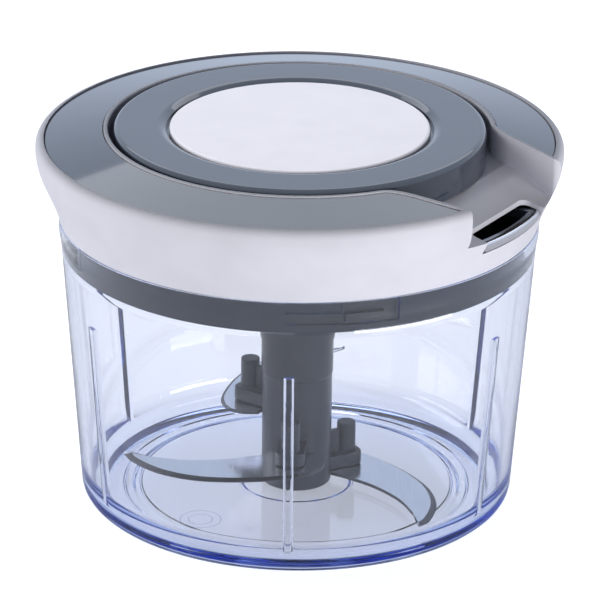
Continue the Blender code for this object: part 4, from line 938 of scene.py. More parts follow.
@dataclass
class Bowl:
    """Clear moulded bowl: tapered wall, ribs, bayonet channels, a foot ring and the boss for the pin."""

    builder: Builder
    height: float = 85.1 * MM
    rim_radius: float = 68.5 * MM
    neck_radius: float = 68.0 * MM
    neck_height: float = 79.0 * MM
    foot_radius: float = 62.2 * MM
    corner: float = 4.3 * MM
    wall: float = 2.2 * MM
    floor_top: float = 2.3 * MM
    inner_corner: float = 8.6 * MM
    rim_inner: float = 65.2 * MM
    edge: float = 0.4 * MM
    foot_ring_inner: float = 48.0 * MM
    foot_ring_height: float = 0.5 * MM
    foot_slope: float = 1.2 * MM
    step_radius: float = 15.4 * MM
    step_depth: float = 0.4 * MM
    groove_radii: tuple[float, ...] = (50.1 * MM, 45.4 * MM, 16.4 * MM)
    groove_width: float = 0.9 * MM
    groove_depth: float = 0.3 * MM
    gate_place: Point = (-27.0 * MM, -29.0 * MM)
    gate_radii: tuple[float, ...] = (5.8 * MM, 3.4 * MM)
    gate_depth: float = 0.12 * MM
    boss_radius: float = 4.6 * MM
    boss_top: float = 6.3 * MM
    pin_hole: float = 2.3 * MM
    pin_base: float = 1.6 * MM
    rib_count: int = 6
    rib_first: float = math.radians(-92)
    rib_width: float = 2.8 * MM
    rib_depth: float = 1.4 * MM
    rib_top: float = 61.6 * MM
    bayonets: int = 4
    channel_floor: float = 78.2 * MM
    channel_height: float = 3.2 * MM
    channel_depth: float = 1.4 * MM
    channel_start: float = math.radians(-93.1)
    entrance_start: float = math.radians(-79.7)
    entrance_end: float = math.radians(-65.5)
    overlap: float = math.radians(0.7)
    fine: float = 0.3 * MM
    step_round: float = 0.15 * MM
    neck_rise: float = 2.0 * MM
    neck_round: float = 1.0 * MM
    band_drop: float = 2.0 * MM
    band_slope: float = 2.0 * MM
    band_round: float = 0.8 * MM
    rib_root: float = 1.0 * MM
    rib_round: float = 0.9 * MM

    def inner_radius(self, height: float) -> float:
        """Inner radius of the sloping wall at a height."""
        share = (height - self.corner) / (self.neck_height - self.corner)
        return self.foot_radius + (self.neck_radius - self.foot_radius) * share - self.wall

    def profile(self) -> list[Corner]:
        """Draws the wall and floor.

        Returns:
            The outline from under the foot, up the outside, over the rim and down the inside.
        """
        band = self.channel_floor - self.band_drop
        blend = band - self.band_slope
        step = self.foot_ring_height + self.step_depth
        fine = self.fine
        return [
            (0.0, step),
            (self.step_radius, step, self.step_round),
            (self.step_radius + self.step_depth, self.foot_ring_height, self.step_round),
            (self.foot_ring_inner - self.foot_slope, self.foot_ring_height, fine),
            (self.foot_ring_inner, 0.0, fine),
            (self.foot_radius - self.step_round, 0.0, self.corner),
            (self.neck_radius, self.neck_height, self.neck_round),
            (self.rim_radius, self.neck_height + self.neck_rise, self.neck_round),
            (self.rim_radius, self.height, self.edge),
            (self.rim_inner, self.height, self.edge),
            (self.rim_inner, band, self.band_round),
            (self.inner_radius(blend), blend, self.band_round),
            (self.inner_radius(self.floor_top), self.floor_top, self.inner_corner),
            *(corner for radius in self.groove_radii for corner in self.groove(radius)),
            (self.boss_radius, self.floor_top, fine),
            (self.boss_radius, self.boss_top, fine),
            (self.pin_hole, self.boss_top),
            (self.pin_hole, self.pin_base),
            (0.0, self.pin_base),
        ]

    def groove(self, radius: float) -> list[Corner]:
        """Draws one shallow round groove in the floor.

        Args:
            radius: Radius of its middle.

        Returns:
            Its corners, from outside inwards.
        """
        half = self.groove_width / 2
        low = self.floor_top - self.groove_depth
        return [
            (radius + half, self.floor_top),
            (radius + half - self.groove_depth, low),
            (radius - half + self.groove_depth, low),
            (radius - half, self.floor_top),
        ]

    def gate_ring(self, radius: float) -> Mesh:
        """Makes one fine round line of the mark where the plastic entered the mould.

        Args:
            radius: Its radius.

        Returns:
            A ring whose lower edge goes into the floor.
        """
        depth = self.gate_depth
        low = self.floor_top - depth
        high = self.floor_top + depth
        ring = spun([(radius - depth, high), (radius, low), (radius + depth, high)], SHAFT_STEPS)
        return moved(ring, (*self.gate_place, 0.0))

    def rib(self) -> Mesh:
        """Makes one rib on the wall at angle zero.

        Returns:
            A long rounded ridge that leans with the wall, rooted in it.
        """
        bottom = self.floor_top - self.rib_root
        reach = self.rib_depth + self.rib_root
        shape = block((-reach / 2, reach / 2), self.rib_width / 2, (bottom, self.rib_top))
        inner = [edge for edge in shape.edges if highest(edge, "x") < 0]
        crown = [edge for edge in inner if highest(edge, "z") > bottom + WELD]
        bevelled(shape, crown, self.rib_round, segments=4)
        for vert in shape.verts:
            vert.co.x += self.inner_radius(vert.co.z) - self.rib_depth + reach / 2
        return shape

    def channel(self) -> Mesh:
        """The space that one lug turns into."""
        return sector(
            self.rim_inner - OVERRUN,
            self.rim_inner + self.channel_depth,
            self.channel_start,
            self.entrance_start + self.overlap,
            self.channel_floor,
            self.channel_floor + self.channel_height,
        )

    def entrance(self) -> Mesh:
        """The slot that one lug comes down through."""
        return sector(
            self.rim_inner - OVERRUN,
            self.rim_inner + self.channel_depth + CLEAR,
            self.entrance_start,
            self.entrance_end,
            self.channel_floor - CLEAR,
            self.height + OVERRUN,
        )

    def build(self) -> None:
        """Makes the bowl."""
        builder = self.builder
        made = builder.piece("clear_bowl", spun(self.profile(), segments=5))
        builder.cut(made, repeated(self.rib, self.rib_count, self.rib_first), "UNION")
        builder.cut(made, repeated(self.channel, self.bayonets))
        builder.cut(made, repeated(self.entrance, self.bayonets))
        builder.cut(made, together(self.gate_ring(radius) for radius in self.gate_radii))
        builder.finished(made, CLEAR_SAN, Body.BOWL, Slot.CLEAR, "bowl")


@dataclass
class Cover:
    """White cover with its lip, well, gap and notch, and the slate inlay in its top."""

    builder: Builder
    lid: LidSizes
    gap: Gap
    side_shares: tuple[Point, ...] = (
        (0.0, 0.0), (0.17, 0.15), (0.35, 0.37), (0.524, 0.615), (0.704, 0.855), (0.883, 0.985), (1.0, 1.0),
    )
    lip: float = 2.4 * MM
    well_lip: float = 1.2 * MM
    well_lip_rise: float = 0.3 * MM
    hole: float = 6.4 * MM
    inlay_thickness: float = 1.2 * MM
    inlay_edge: float = 0.35 * MM
    inlay_clearance: float = 0.22 * MM
    gap_lip: float = 1.0 * MM
    floor_wall: float = 1.5 * MM
    fillet: float = 1.4 * MM
    notch_start: float = 64.2 * MM
    notch_corner: float = 3.0 * MM
    notch_clearance: float = 0.4 * MM
    edge: float = 0.3 * MM
    inlay_edge_share: float = 0.7
    crest_round: float = 0.5 * MM
    well_round: float = 0.6 * MM

    def side(self, inset: float = 0.0) -> list[Corner]:
        """Draws the flared side.

        Args:
            inset: How far inside the surface.

        Returns:
            (radius, height) of its points, from the bottom up.
        """
        lid = self.lid
        return [
            (
                lid.cover_bottom_radius + (lid.rim_radius - lid.cover_bottom_radius) * flare - inset,
                lid.cover_bottom + (lid.rim_height - lid.cover_bottom) * rise,
            )
            for rise, flare in spline(self.side_shares, steps=5)
        ]

    def profile(self) -> list[Corner]:
        """Draws the cover as a solid.

        Returns:
            The outline from its hole, up the outside and down into the well.
        """
        lid = self.lid
        lip = arc(self.lip, 0.0, math.pi / 2, steps=8, centre=(lid.rim_radius - self.lip, lid.rim_height))
        crest = lid.deck(lid.well_radius + self.well_lip) + self.well_lip_rise
        return [
            (self.hole, lid.cover_bottom),
            *self.side(),
            *lip[1:],
            (lid.well_radius + self.well_lip, crest, self.crest_round),
            (lid.well_radius, crest, self.crest_round),
            (lid.well_radius, lid.well_floor, self.well_round),
            (self.hole, lid.well_floor),
        ]

    def hollow(self) -> list[Corner]:
        """Draws the space inside the cover.

        Returns:
            The outline from below the plate, up inside the wall and in to the axis.
        """
        lid = self.lid
        deck = self.inlay_thickness + self.inlay_clearance + lid.wall
        outer = lid.rim_radius - lid.wall - self.lip
        inner = lid.well_radius + lid.wall
        return [
            (0.0, lid.cover_bottom - OVERRUN),
            (lid.cover_bottom_radius - lid.wall, lid.cover_bottom - OVERRUN),
            *self.side(lid.wall)[:-1],
            (outer, lid.deck(outer) - deck),
            (inner, lid.deck(inner) - deck),
            (inner, lid.well_floor - lid.wall),
            (0.0, lid.well_floor - lid.wall),
        ]

    def ring(self, spare: float) -> Mesh:
        """Makes the ring that the inlay fills.

        Args:
            spare: How much wider and deeper it is, for its recess.

        Returns:
            The ring, taller than the deck where it has a spare.
        """
        lid = self.lid
        inner = lid.inlay_inner - spare
        outer = lid.inlay_outer + spare
        lift = OVERRUN if spare else 0.0
        edge = () if spare else (self.inlay_edge,)
        under = self.inlay_thickness + spare
        return spun(
            [
                (inner, lid.deck(inner) - under),
                (outer, lid.deck(outer) - under),
                (outer, lid.deck(outer) + lift, *edge),
                (inner, lid.deck(inner) + lift, *edge),
            ]
        )

    def ends(self, grow: float) -> Mesh:
        """Makes the space over the gap that the inlay leaves free.

        Args:
            grow: How far it reaches beyond the gap's walls.

        Returns:
            The solid, turned to the pull direction.
        """
        low = self.lid.inlay_outer_height - self.inlay_thickness - OVERRUN
        space = raised(self.gap.outline(grow, True), low, self.lid.cap_top + 3 * OVERRUN)
        return turned(space, self.lid.pull_angle)

    def notch(self) -> Mesh:
        """Makes the slot in the outer wall that the handle leaves through.

        Returns:
            The solid, round at its inner corners and turned to the pull direction.
        """
        lid = self.lid
        half = lid.handle_half_width + self.notch_clearance
        heights = (lid.handle_bottom - CLEAR, lid.cap_top)
        shape = block((self.notch_start, lid.rim_radius + OVERRUN), half, heights)
        rear = [edge for edge in upright_edges(shape) if highest(edge, "x") < self.notch_start + WELD]
        return turned(bevelled(shape, rear, self.notch_corner, segments=8), lid.pull_angle)

    def build(self) -> bpy.types.Object:
        """Makes the cover and its inlay.

        Returns:
            The cover.
        """
        builder = self.builder
        lid = self.lid
        made = builder.piece("white_cover", spun(self.profile()))
        builder.cut(made, self.gap.tool(builder, 0.0, 0.0, self.fillet))
        recess = self.ring(self.inlay_clearance)
        builder.cut(made, builder.shape_of("recess", recess, (self.ends(self.gap_lip), "DIFFERENCE")))
        wall = self.gap.tool(builder, lid.wall, self.floor_wall, 0.0)
        builder.cut(made, builder.shape_of("hollow", spun(self.hollow()), (wall, "DIFFERENCE")))
        builder.cut(made, self.notch())
        builder.edge_rounding(made, self.edge)
        cover = builder.finished(made, WHITE_ABS, Body.LID, Slot.WHITE, "lid_cover")

        inlay = builder.piece("slate_inlay", self.ring(0.0))
        builder.cut(inlay, self.ends(self.gap_lip + self.inlay_clearance))
        builder.edge_rounding(inlay, self.edge * self.inlay_edge_share)
        builder.finished(inlay, GLOSS_ABS, Body.LID, Slot.GLOSS, "rim_inlay")
        return cover


@dataclass
class SpringHousing:
    """Round cap over the recoil spring, and the white disc in its middle."""

    builder: Builder
    lid: LidSizes
    cap_radius: float = 53.0 * MM
    cap_side: float = 2.0 * MM
    cap_edge: float = 1.6 * MM
    recess_radius: float = 37.9 * MM
    recess_bevel: float = 1.7 * MM
    recess_bevel_share: float = 0.6
    recess_low_round: float = 0.2 * MM
    recess_high_round: float = 0.8 * MM
    recess_floor: float = 109.6 * MM
    plate: float = 2.0 * MM
    hole: float = 3.3 * MM
    disc_radius: float = 37.1 * MM
    disc_top: float = 111.6 * MM
    disc_edge: float = 0.9 * MM
    pocket_radius: float = 9.0 * MM
    pocket_depth: float = 0.9 * MM

    def build(self) -> None:
        """Makes the cap and the disc."""
        builder = self.builder
        bottom = self.lid.well_floor + CLEAR
        top = self.lid.cap_top
        under = self.recess_floor - self.plate
        cap = [
            (self.hole, self.recess_floor),
            (self.recess_radius, self.recess_floor),
            (self.recess_radius, top - self.recess_bevel * self.recess_bevel_share, self.recess_low_round),
            (self.recess_radius + self.recess_bevel, top, self.recess_high_round),
            (self.cap_radius, top, self.cap_edge),
            (self.cap_radius, bottom),
            (self.cap_radius - self.cap_side, bottom),
            (self.cap_radius - self.cap_side, under),
            (self.hole, under),
        ]
        made = builder.piece("slate_spring_cap", spun(cap, segments=6))
        builder.finished(made, GLOSS_ABS, Body.LID, Slot.GLOSS, "spring_cap")
        low = self.recess_floor + CLEAR
        disc = [
            (0.0, low + self.pocket_depth),
            (self.pocket_radius, low + self.pocket_depth),
            (self.pocket_radius, low),
            (self.disc_radius, low),
            (self.disc_radius, self.disc_top, self.disc_edge),
            (0.0, self.disc_top),
        ]
        made = builder.piece("white_disc", spun(disc, segments=6))
        builder.finished(made, DISC_ABS, Body.LID, Slot.WHITE, "hub_disc")


@dataclass
class LidUnderside:
    """Slate underside of the lid: plate, skirt with lugs, shaft guard, handle tray and cord guide wall."""

    builder: Builder
    lid: LidSizes
    skirt_radius: float = 64.7 * MM
    skirt_wall: float = 2.0 * MM
    skirt_bottom: float = 75.2 * MM
    edge: float = 0.4 * MM
    plate_radius: float = 66.2 * MM
    collar_radius: float = 7.6 * MM
    collar_wall: float = 2.0 * MM
    collar_drop: float = 2.0 * MM
    guard_radius: float = 11.3 * MM
    guard_wall: float = 1.8 * MM
    guard_drop: float = 7.6 * MM
    lug_reach: float = 66.2 * MM
    lug_start: float = math.radians(-78.8)
    lug_end: float = math.radians(-69.1)
    lug_bottom: float = 78.6 * MM
    lug_top: float = 81.0 * MM
    lugs: int = 4
    screw_circle: float = 58.5 * MM
    screw_count: int = 4
    screw_first: float = math.radians(20)
    screw_hole: float = 1.4 * MM
    tray_start: float = 48.5 * MM
    tray_wall: float = 1.2 * MM
    tray_rise: float = 1.8 * MM
    tray_front: float = 66.6 * MM
    pocket_floor: float = 89.4 * MM
    pocket_front_wall: float = 3.2 * MM
    guide_start: float = 44.0 * MM
    guide_thickness: float = 2.0 * MM
    guide_half: float = 5.0 * MM
    guide_top: float = 97.2 * MM
    guide_bore: float = 1.8 * MM
    clearance: float = 0.4 * MM
    seal_outer: float = 66.1 * MM
    seal_inner: float = 65.1 * MM
    seal_bead: float = 0.35 * MM
    lug_edge: float = 0.2 * MM
    loop_corner_share: float = 0.25

    def profile(self) -> list[Corner]:
        """Draws the turned part of the underside.

        Returns:
            The outline from the collar outwards and back over the plate.
        """
        bottom = self.lid.plate_bottom
        skirt_inner = self.skirt_radius - self.skirt_wall
        collar = self.collar_radius + self.collar_wall
        guard = self.guard_radius + self.guard_wall
        return [
            (self.collar_radius, bottom - self.collar_drop),
            (collar, bottom - self.collar_drop, self.edge),
            (collar, bottom, self.edge),
            (self.guard_radius, bottom, self.edge),
            (self.guard_radius, bottom - self.guard_drop, self.edge),
            (guard, bottom - self.guard_drop, self.edge),
            (guard, bottom, self.edge * 2),
            (skirt_inner, bottom, self.edge * 2),
            (skirt_inner, self.skirt_bottom, self.edge),
            (self.skirt_radius, self.skirt_bottom, self.edge),
            (self.skirt_radius, bottom),
            (self.plate_radius, bottom),
            (self.plate_radius, self.lid.plate_top),
            (self.collar_radius, self.lid.plate_top),
        ]

    def lug(self) -> Mesh:
        """Makes one lug on the skirt.

        Returns:
            The lug, with softened edges.
        """
        inner = self.skirt_radius - ROOT
        shape = sector(inner, self.lug_reach, self.lug_start, self.lug_end, self.lug_bottom, self.lug_top)
        return bevelled(shape, sharp_edges(shape), self.lug_edge)

    def loop(self, back: float, side: float, front: float) -> list[Point]:
        """Draws an outline in or round the handle.

        Args:
            back: How far in from its back.
            side: How far in from its sides.
            front: How far in from its curved front.

        Returns:
            The outline seen from above.
        """
        lid = self.lid
        start = lid.handle_back + back
        half = lid.handle_half_width - side
        radius = lid.trim_radius - front
        ends = math.asin(half / radius)
        corner = half * self.loop_corner_share
        rear = arc(corner, math.pi / 2, math.pi, steps=6, centre=(start + corner, half - corner))
        other = [(along, -across) for along, across in rear[::-1]]
        return arc(radius, -ends, ends, FRONT_STEPS) + rear + other

    def tray(self) -> Mesh:
        """Makes the tray that the handle lies in, with the pocket for a finger.

        Returns:
            The solid, turned to the pull direction.
        """
        lid = self.lid
        half = lid.handle_half_width + self.clearance
        outer = half + self.tray_wall
        ends = math.asin(outer / self.tray_front)
        curve = arc(self.tray_front, -ends, ends, FRONT_STEPS)
        outline = [(self.tray_start, -outer), *curve, (self.tray_start, outer)]
        body = raised(outline, lid.plate_top - ROOT, lid.handle_bottom + self.tray_rise)
        sill = lid.handle_bottom - CLEAR
        run = block((self.tray_start - OVERRUN, lid.rim_radius), half, (sill, sill + 2 * OVERRUN))
        front = lid.trim_depth + CLEAR + self.pocket_front_wall
        opening = self.loop(lid.handle_bar, lid.handle_side, front)
        pocket = raised(opening, self.pocket_floor, lid.handle_top)
        shape = self.builder.shape_of("tray", body, (run, "DIFFERENCE"), (pocket, "DIFFERENCE"))
        return turned(shape, lid.pull_angle)

    def guide_wall(self) -> Mesh:
        """Makes the wall that holds the cord's guide, with its bore.

        Returns:
            The solid, turned to the pull direction.
        """
        lid = self.lid
        along = (self.guide_start, self.guide_start + self.guide_thickness)
        wall = block(along, self.guide_half, (lid.plate_top - ROOT, self.guide_top))
        bore = on_its_side(drum(self.guide_bore, -OVERRUN, OVERRUN), sum(along) / 2, lid.cord_height)
        return turned(self.builder.shape_of("guide", wall, (bore, "DIFFERENCE")), lid.pull_angle)

    def build(self) -> None:
        """Makes the underside and the seal."""
        builder = self.builder
        made = builder.piece("slate_underside", spun(self.profile()))
        builder.cut(made, repeated(self.lug, self.lugs), "UNION")
        low = self.lid.plate_bottom - OVERRUN
        high = self.lid.plate_top + OVERRUN
        places = [
            polar(self.screw_circle, self.screw_first + index * math.tau / self.screw_count)
            for index in range(self.screw_count)
        ]
        builder.cut(made, together(drum(self.screw_hole, low, high, centre=place) for place in places))
        builder.cut(made, self.tray(), "UNION")
        builder.cut(made, self.guide_wall(), "UNION")
        builder.finished(made, DARK_ABS, Body.LID, Slot.DARK, "lid_base")

        bottom = self.lid.cover_bottom
        top = self.lid.plate_bottom - CLEAR
        inner, outer, bead = self.seal_inner, self.seal_outer, self.seal_bead
        seal = [(inner, bottom, bead), (outer, bottom, bead), (outer, top, bead), (inner, top, bead)]
        made = builder.piece("soft_seal", spun(seal))
        builder.finished(made, SEAL_RUBBER, Body.SEAL, Slot.SEAL, "seal_ring")


class BladeName(Enum):
    """The three blades, from the bottom up."""

    LOWER = "lower"
    MIDDLE = "middle"
    UPPER = "upper"


@dataclass
class BladeSet:
    """Upright shaft with three ledges, each with a post, and three curved ground blades."""

    builder: Builder
    radius: float = 10.1 * MM
    upper_radius: float = 10.4 * MM
    step_height: float = 37.0 * MM
    top: float = 81.5 * MM
    foot: float = 2.6 * MM
    foot_chamfer: float = 0.8 * MM
    foot_bore: float = 4.9 * MM
    bush_top: float = 14.9 * MM
    pin_room: float = 2.6 * MM
    pin_end: float = 22.3 * MM
    socket_radius: float = 5.4 * MM
    socket_bottom: float = 66.0 * MM
    key_inner: float = 4.1 * MM
    key_top: float = 79.0 * MM
    key_half: float = math.radians(15)
    keys: int = 2
    thickness: float = 1.0 * MM
    reach: float = 50.5 * MM
    grind_share: float = 0.93
    tooth_pitch: float = 0.8 * MM
    tooth_depth: float = 0.28 * MM
    land_share: float = 0.25
    step_round: float = 0.15 * MM
    step_low_round: float = 0.1 * MM
    painted_shade_slope: float = 0.95
    painted_shade_area: float = 4.0 * MM * MM
    slot_radius: float = 8.4 * MM
    ledge_reach: float = 20.0 * MM
    ledge_half: float = 4.2 * MM
    ledge_chamfer: float = 2.2 * MM
    ledge_height: float = 4.0 * MM
    post_circle: float = 16.3 * MM
    post_radius: float = 2.75 * MM
    post_height: float = 8.6 * MM
    web: float = 1.6 * MM
    web_height: float = 6.6 * MM
    stud_radius: float = 1.2 * MM
    edge: float = 0.35 * MM
    edge_shares: tuple[Point, ...] = (
        (0.178, 0.139), (0.277, 0.192), (0.376, 0.178), (0.475, 0.079), (0.554, -0.119), (0.594, -0.337),
        (0.588, -0.545), (0.515, -0.743), (0.384, -0.900), (0.287, -0.960),
    )
    back_shares: tuple[Point, ...] = (
        (0.337, -0.792), (0.356, -0.594), (0.317, -0.376), (0.238, -0.198), (0.178, -0.099),
    )
    angles: dict[BladeName, float] = field(
        default_factory=lambda: {
            BladeName.LOWER: math.radians(27),
            BladeName.MIDDLE: math.radians(-96),
            BladeName.UPPER: math.radians(147),
        }
    )
    heights: dict[BladeName, float] = field(
        default_factory=lambda: {
            BladeName.LOWER: 3.6 * MM,
            BladeName.MIDDLE: 13.4 * MM,
            BladeName.UPPER: 22.9 * MM,
        }
    )

    def edge_points(self, ground: bool) -> list[Point]:
        """Draws the cutting edge, toothed at its sharp face and drawn in at its ground one.

        Args:
            ground: True for the face that the grinding leaves narrower.

        Returns:
            Points from the shaft to the tip.
        """
        coarse = [Vector(point) * self.reach for point in spline(self.edge_shares, steps=12)]
        length = sum((after - before).length for before, after in zip(coarse, coarse[1:]))
        count = 2 * round(length / self.tooth_pitch)
        found = []
        travelled = 0.0
        index = 0
        root = self.edge_shares[0][0] * self.reach
        for tooth in range(count + 1):
            wanted = length * tooth / count
            way = coarse[index + 1] - coarse[index]
            while index < len(coarse) - 2 and travelled + way.length < wanted:
                travelled += way.length
                index += 1
                way = coarse[index + 1] - coarse[index]
            place = coarse[index] + way * min(1.0, (wanted - travelled) / way.length)
            inward = Vector((way.y, -way.x)).normalized()
            if tooth in (0, count):
                found.append(tuple(place))
            elif ground:
                drawn = root + (place.x - root) * self.grind_share
                found.append((drawn, place.y * (1 + self.grind_share) / 2))
            else:
                found.append(tuple(place + inward * self.tooth_depth * (tooth % 2)))
        return found

    def blade(self, name: BladeName) -> None:
        """Makes one blade.

        Args:
            name: Which blade.
        """
        bottom = self.heights[name]
        back = [(x * self.reach, y * self.reach) for x, y in spline(self.back_shares, steps=8)]
        shape = bmesh.new()
        loops = []
        for height, ground in ((0.0, False), (self.land_share, False), (1.0, True)):
            outline = self.edge_points(ground) + back
            points = [shape.verts.new((x, y, bottom + self.thickness * height)) for x, y in outline]
            loops.append([shape.edges.new(pair) for pair in zip(points, points[1:] + points[:1])])
        for lower, upper in zip(loops, loops[1:]):
            bmesh.ops.bridge_loops(shape, edges=lower + upper)
        for loop in (loops[0], loops[-1]):
            bmesh.ops.contextual_create(shape, geom=loop)
        bmesh.ops.recalc_face_normals(shape, faces=shape.faces)
        made = self.builder.piece(f"{name.value}_curved_blade", turned(shape, self.angles[name]))
        place = polar(self.post_circle, self.angles[name])
        low, high = bottom - OVERRUN, bottom + self.thickness + OVERRUN
        self.builder.cut(made, drum(self.stud_radius + CLEAR, low, high, centre=place))
        self.builder.finished(made, BLADE_STEEL, Body.BLADES, Slot.STEEL, f"{name.value}_blade")
        self.tooth(made)

    def tooth(self, made: bpy.types.Object) -> None:
        """Gives a blade's side faces, its ground edge among them, a rougher steel whose darker colour is painted
        shade.

        Args:
            made: The blade.
        """
        made.data.materials.append(EDGE_STEEL_PAINTED_SHADE.material())
        # Small faces that stand more upright than the slope get the steel with painted shade.
        for face in made.data.polygons:
            if abs(face.normal.z) < self.painted_shade_slope and face.area < self.painted_shade_area:
                face.material_index = 1

    def ledge(self, name: BladeName) -> list[Mesh]:
        """Makes the block over one blade, its post, the web between post and shaft, and the stud.

        Args:
            name: Which blade.

        Returns:
            The four shapes, turned to the blade's place.
        """
        bottom = self.heights[name] + self.thickness + CLEAR
        top = bottom + self.ledge_height
        root = self.slot_radius
        shelf = block((root, self.ledge_reach), self.ledge_half, (bottom, top))
        outer = [edge for edge in upright_edges(shelf) if lowest(edge, "x") > self.ledge_reach - WELD]
        bevelled(shelf, outer, self.ledge_chamfer, segments=5)
        centre = (self.post_circle, 0.0)
        post = drum(self.post_radius, top - ROOT, top + self.post_height, centre=centre)
        for shape in (shelf, post):
            bevelled(shape, sharp_edges(shape), self.edge)
        web = block((root, self.post_circle), self.web / 2, (top - ROOT, top + self.web_height))
        stud = drum(self.stud_radius, bottom - self.thickness - 2 * CLEAR, bottom + ROOT, centre=centre)
        return [turned(shape, self.angles[name]) for shape in (shelf, post, web, stud)]

    def slot(self, name: BladeName) -> Mesh:
        """Makes the flat cut in the shaft that one blade's root lies in.

        Args:
            name: Which blade.

        Returns:
            The solid, turned to the blade's place.
        """
        low = self.heights[name] - CLEAR
        along = (self.slot_radius - CLEAR, self.reach / 2)
        flat = block(along, self.reach / 2, (low, low + self.thickness + 2 * CLEAR))
        return turned(flat, self.angles[name])

    def key(self) -> Mesh:
        """Makes one key in the drive socket.

        Returns:
            The key, rooted in the socket's wall and floor.
        """
        outer = self.socket_radius + ROOT
        low = self.socket_bottom - ROOT
        return sector(self.key_inner, outer, -self.key_half, self.key_half, low, self.key_top)

    def build(self) -> None:
        """Makes the shaft and the blades."""
        builder = self.builder
        profile = [
            (0.0, self.socket_bottom),
            (self.socket_radius, self.socket_bottom),
            (self.socket_radius, self.top, self.edge),
            (self.upper_radius, self.top, self.edge * 2),
            (self.upper_radius, self.step_height, self.step_round),
            (self.radius, self.step_height - CLEAR, self.step_low_round),
            (self.radius, self.foot, self.foot_chamfer),
            (self.foot_bore, self.foot),
            (self.foot_bore, self.bush_top),
            (self.pin_room, self.bush_top),
            (self.pin_room, self.pin_end),
            (0.0, self.pin_end),
        ]
        made = builder.piece("slate_blade_shaft", spun(profile, SHAFT_STEPS))
        builder.cut(made, together(self.slot(name) for name in BladeName))
        for name in BladeName:
            for shape in self.ledge(name):
                builder.cut(made, shape, "UNION")
        builder.cut(made, repeated(self.key, self.keys, math.pi / 2), "UNION")
        builder.finished(made, DARK_ABS, Body.BLADES, Slot.DARK, "blade_shaft")
        for name in BladeName:
            self.blade(name)


@dataclass
class PullHandle:
    """Flat ring handle with its silver front, and the pull cord that stretches between it and its guide."""

    builder: Builder
    lid: LidSizes
    underside: LidUnderside
    front_bar: float = 1.3 * MM
    trim_inset: float = 0.2 * MM
    trim_rounding: float = 0.9 * MM
    cord_bore: float = 0.9 * MM
    edge: float = 0.45 * MM
    cord_steps: int = 40

    def ring(self) -> Mesh:
        """Makes the ring.

        Returns:
            The ring, cut for a finger and for the cord, along X.
        """
        lid = self.lid
        front = lid.trim_depth + CLEAR
        body = raised(self.underside.loop(0.0, 0.0, front), lid.handle_bottom, lid.handle_top)
        bevelled(body, sharp_edges(body), self.edge, segments=3)
        opening = self.underside.loop(lid.handle_bar, lid.handle_side, front + self.front_bar)
        hole = raised(opening, lid.handle_bottom - OVERRUN, lid.handle_top + OVERRUN)
        bore = drum(self.cord_bore, -2 * OVERRUN, 2 * OVERRUN)
        on_its_side(bore, lid.handle_back, lid.cord_height)
        return self.builder.shape_of("ring", body, (hole, "DIFFERENCE"), (bore, "DIFFERENCE"))

    def trim(self) -> Mesh:
        """Makes the silver bar along the ring's front.

        Returns:
            The bar, along X.
        """
        lid = self.lid
        ends = math.asin((lid.handle_half_width - self.trim_inset) / lid.trim_radius)
        radii = (lid.trim_radius - lid.trim_depth, lid.trim_radius)
        shape = sector(*radii, -ends, ends, lid.handle_bottom, lid.handle_top, FRONT_STEPS)
        return bevelled(shape, sharp_edges(shape), self.trim_rounding, segments=5)

    def cord(self) -> None:
        """Makes the stretch of cord that lengthens as the handle is pulled."""
        lid = self.lid
        start = lid.guide_end
        end = lid.handle_back + lid.handle_bar
        shape = drum(lid.cord_radius, 0.0, end - start, steps=12)
        upright = upright_edges(shape)
        bmesh.ops.subdivide_edges(shape, edges=upright, cuts=self.cord_steps, use_grid_fill=True)
        on_its_side(shape, start, lid.cord_height)
        made = self.builder.piece("pull_cord", turned(shape, lid.pull_angle))
        self.builder.shaded(made, NYLON_CORD)
        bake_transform(made)
        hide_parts("cord_tail")
        log.info("%s: %d faces", made.name, len(made.data.polygons))

    def build(self) -> None:
        """Makes the handle and its cord."""
        builder = self.builder
        turn = self.lid.pull_angle
        ring = builder.piece("slate_pull_ring", turned(self.ring(), turn))
        builder.finished(ring, GLOSS_ABS, Body.HANDLE, Slot.GLOSS, "handle_ring")
        trim = builder.piece("silver_pull_trim", turned(self.trim(), turn))
        builder.finished(trim, SATIN_CHROME, Body.HANDLE, Slot.TRIM, "handle_trim")
        self.cord()


@dataclass
class KeptNodes:
    """CAD nodes whose shape is right, which only get their finishes."""

    finishes: tuple[tuple[Finish, str], ...] = (
        (TURNED_STEEL, "pivot_pin cord_guide reel_axle pawl_a pawl_b drive_clip"),
        (TURNED_STEEL, "cap_screw_1 cap_screw_2 cap_screw_3"),
        (TURNED_STEEL, "base_screw_1 base_screw_2 base_screw_3 base_screw_4"),
        (BLADE_STEEL, "recoil_spring"),
        (NATURAL_NYLON, "bearing_bush cord_reel drive_hub foot_bush"),
        (NYLON_CORD, "cord_run cord_winding cord_knot"),
    )

    def dress(self) -> None:
        """Gives each node its finish."""
        for finish, names in self.finishes:
            for name in names.split():
                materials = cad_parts[name].data.materials
                materials.clear()
                materials.append(finish.material())
                log.info("%s: %s", name, finish.name)


@dataclass(frozen=True)
class Levels:
    """Strengths of a white surface: the light it gives, and what more each kind of ray sees of it."""

    light: float
    camera: float
    mirrored: float
    through: float


@dataclass(frozen=True)
class Softbox:
    """A soft lamp: its place and face in metres, its watts, if gloss mirrors it, if it is kept off the cover."""

    name: str
    place: tuple[float, float, float]
    size: Point
    watts: float
    mirrored: bool = False
    off_cover: bool = False


